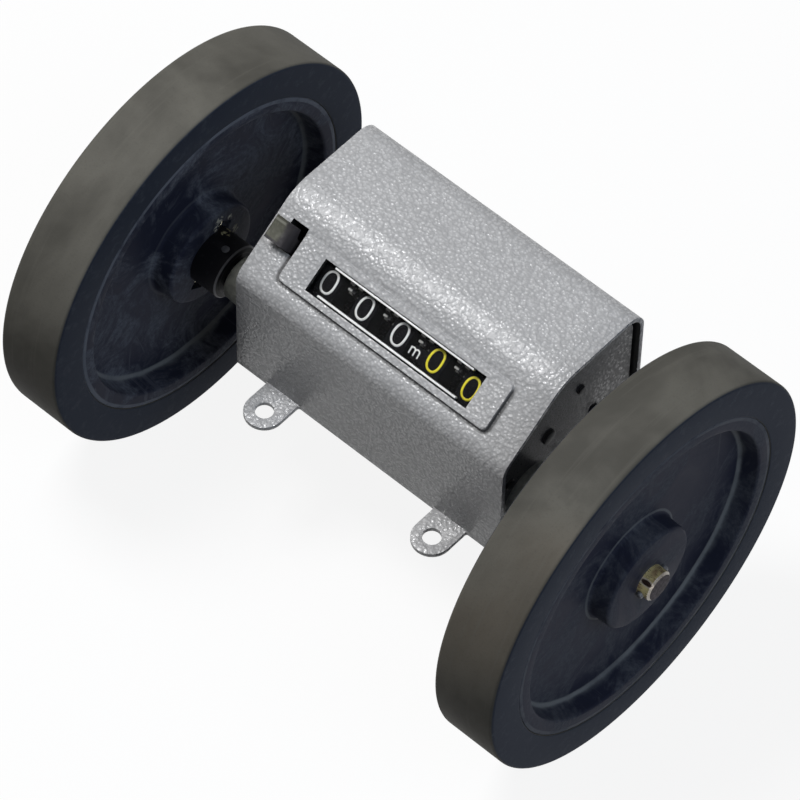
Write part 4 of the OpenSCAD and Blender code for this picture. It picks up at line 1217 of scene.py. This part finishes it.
# One stroke for each figure from 0 to 9; only the first is closed
NUMERALS = [
    oval(),
    [(-0.55, 0.55), (0.15, 1.0), (0.15, -1.0)],
    arc(0, 0.45, 0.9, 0.55, 165, -40) + [(-0.9, -1.0), (0.95, -1.0)],
    arc(0, 0.5, 0.8, 0.5, 150, -90, 9) + arc(0, -0.5, 0.95, 0.5, 90, -150, 9),
    [(0.5, -1.0), (0.5, 1.0), (-0.95, -0.4), (0.95, -0.4)],
    [(0.8, 1.0), (-0.7, 1.0), (-0.8, 0.1)] + arc(0, -0.35, 0.92, 0.65, 125, -150, 9),
    [(0.55, 0.95), (-0.35, 0.45)] + arc(0, -0.4, 0.9, 0.6, 150, 500, 14),
    [(-0.9, 1.0), (0.9, 1.0), (-0.2, -1.0)],
    arc(0, 0.52, 0.75, 0.48, -90, 270, 12) + arc(0, -0.48, 0.92, 0.52, 90, -270, 14),
    [(-0.55, -0.95), (0.35, -0.45)] + arc(0, 0.4, 0.9, 0.6, -30, 320, 14),
]
UNIT_LETTER = [
    [(-1.0, -1.0), (-1.0, 1.0)],
    [(-1.0, 0.35)] + arc(-0.5, 0.35, 0.5, 0.6, 180, 0, 6) + [(0.0, -1.0)],
    [(0.0, 0.35)] + arc(0.5, 0.35, 0.5, 0.6, 180, 0, 6) + [(1.0, -1.0)],
]


def stroke(points, high, wide, width, closed, name):
    """A round stroke through points of the box, lying in the XY plane."""
    half_w = (wide - width) / 2
    half_h = (high - width) / 2
    line = draw([(x * half_w, y * half_h, 0) for x, y in points], name, closed)
    take(line)
    bpy.ops.object.convert(target="CURVE")
    line.data.bevel_depth = width / 2
    line.data.bevel_resolution = 1
    line.data.use_fill_caps = True
    bpy.ops.object.convert(target="MESH")
    return bpy.context.object


def wrap(piece, x, turn, radius, relief=0.5):
    """Bends a flat piece round the drums, its top turned back. A relief of a half keeps its height."""
    for vertex in piece.data.vertices:
        across, upwards, out = vertex.co
        at = turn - upwards / radius
        reach = radius + out * 2 * relief
        vertex.co = (x + across, DRUM_AXIS.y + reach * math.cos(at), DRUM_AXIS.z + reach * math.sin(at))


class COUNTER_OT_drums(bpy.types.Operator):
    """Adds the five drums with raised numerals 0 to 9"""
    bl_idname = "counter.drums"
    bl_label = "Number drums"

    def execute(self, context):
        drums = context.scene.counter_drums
        slope = context.scene.counter_housing.slope
        for drum in DRUMS:
            stand_in("number_drum_%d" % drum, drums.drum_edge, "drum_black")
            reading = math.pi / 2 + slope + (drums.last_turn if drum == DRUMS[-1] else 0)
            figures = []
            for figure, points in enumerate(NUMERALS):
                piece = stroke(points, drums.numeral_h, drums.numeral_l, drums.stroke, figure == 0, "figure")
                wrap(piece, DRUM_X[drum - 1], reading - figure * math.tau / 10, DRUM_R, drums.relief)
                figures.append(piece)
            piece = join(figures, "numerals_%d" % drum)
            smooth(piece, 60)
            ink = "numeral_white" if drum <= WHITE_DRUMS else "numeral_yellow"
            hand_over(piece, "drum_%d" % drum, "drum_black", ink)
        return {"FINISHED"}


class COUNTER_OT_unit_plate(bpy.types.Operator):
    """Adds the fixed plate with the unit letter between the third and fourth drums"""
    bl_idname = "counter.unit_plate"
    bl_label = "Unit plate"

    def execute(self, context):
        drums = context.scene.counter_drums
        middle = math.pi / 2 + context.scene.counter_housing.slope + drums.unit_drop / DRUM_R
        low, high = corners(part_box("pinion_carrier_3"))
        half_h, half_t, stem_h = drums.plate_h / 2, drums.plate_t / 2, drums.stem_h / 2
        plate = block((low.x - drums.plate_more, -half_h, -half_t), (drums.plate_end, half_h, half_t),
                      "unit_plate")
        edit(plate)
        bpy.ops.mesh.subdivide(number_cuts=4)
        done()
        wrap(plate, 0, middle, DRUM_R - drums.plate_sink)
        stem = block((low.x, -stem_h, -drums.stem_l), (high.x, stem_h, 0.0), "stem")
        wrap(stem, 0, middle, DRUM_R - drums.plate_t)
        piece = join([plate, stem], "unit_plate")
        ease_edges(piece, drums.plate_edge)
        smooth(piece)
        hand_over(piece, "housing", "black_steel", "drum_black")
        letters = []
        for points in UNIT_LETTER:
            letter = stroke(points, drums.unit_h, drums.unit_l, drums.unit_stroke, False, "letter")
            wrap(letter, drums.unit_x, middle, DRUM_R - drums.unit_sink, drums.relief)
            letters.append(letter)
        mark = join(letters, "unit_letter")
        smooth(mark, 60)
        hand_over(mark, "housing", "black_steel", "numeral_white")
        return {"FINISHED"}


class COUNTER_OT_lever(bpy.types.Operator):
    """Adds the reset lever"""
    bl_idname = "counter.lever"
    bl_label = "Reset lever"

    def execute(self, context):
        stand_ins("lever")
        return {"FINISHED"}


class COUNTER_OT_works(bpy.types.Operator):
    """Finishes the gears, rods, bearings and the reset comb inside the housing"""
    bl_idname = "counter.works"
    bl_label = "Works"

    def execute(self, context):
        stand_ins("works")
        stay = {"idler_gear": "gear_nylon", "drum_pinion": "gear_nylon", "drive_gear": "gear_brass",
                "reset_comb": "plated_steel", "reset_spring": "spring_steel"}
        for node, finish in stay.items():
            for slot in frame["nodes"][node].material_slots:
                slot.material = finish_of(finish)
        return {"FINISHED"}


class COUNTER_OT_screws(bpy.types.Operator):
    """Adds the slotted screws"""
    bl_idname = "counter.screws"
    bl_label = "Screws"

    def execute(self, context):
        stand_ins("screws")
        return {"FINISHED"}


class COUNTER_PT_panel(bpy.types.Panel):
    """Lists the pieces and their sizes"""
    bl_label = "Cable length counter"
    bl_idname = "COUNTER_PT_panel"
    bl_space_type = "VIEW_3D"
    bl_region_type = "UI"
    bl_category = "Counter"

    def draw(self, context):
        for operator in OPERATORS:
            self.layout.operator(operator.bl_idname)
        for group, kind in GROUPS.items():
            box = self.layout.box()
            box.label(text=kind.__doc__)
            settings = getattr(context.scene, group)
            for name in kind.__annotations__:
                box.prop(settings, name)


OPERATORS = (
    COUNTER_OT_stage, COUNTER_OT_tyres, COUNTER_OT_hubs, COUNTER_OT_axle, COUNTER_OT_cover,
    COUNTER_OT_base, COUNTER_OT_end_plates, COUNTER_OT_window, COUNTER_OT_drums,
    COUNTER_OT_unit_plate, COUNTER_OT_lever, COUNTER_OT_works, COUNTER_OT_screws,
)
CLASSES = (*GROUPS.values(), *OPERATORS, COUNTER_PT_panel)


def register():
    """Registers the classes and gives the scene its settings."""
    for kind in CLASSES:
        bpy.utils.register_class(kind)
    for name, kind in GROUPS.items():
        setattr(bpy.types.Scene, name, bpy.props.PointerProperty(type=kind))


def unregister():
    """Takes back what register did."""
    for name in GROUPS:
        delattr(bpy.types.Scene, name)
    for kind in reversed(CLASSES):
        bpy.utils.unregister_class(kind)


def main():
    """Registers the classes and builds the counter by running every operator."""
    register()
    for operator in OPERATORS:
        area, name = operator.bl_idname.split(".")
        getattr(getattr(bpy.ops, area), name)()


if __name__ == "__main__":
    main()
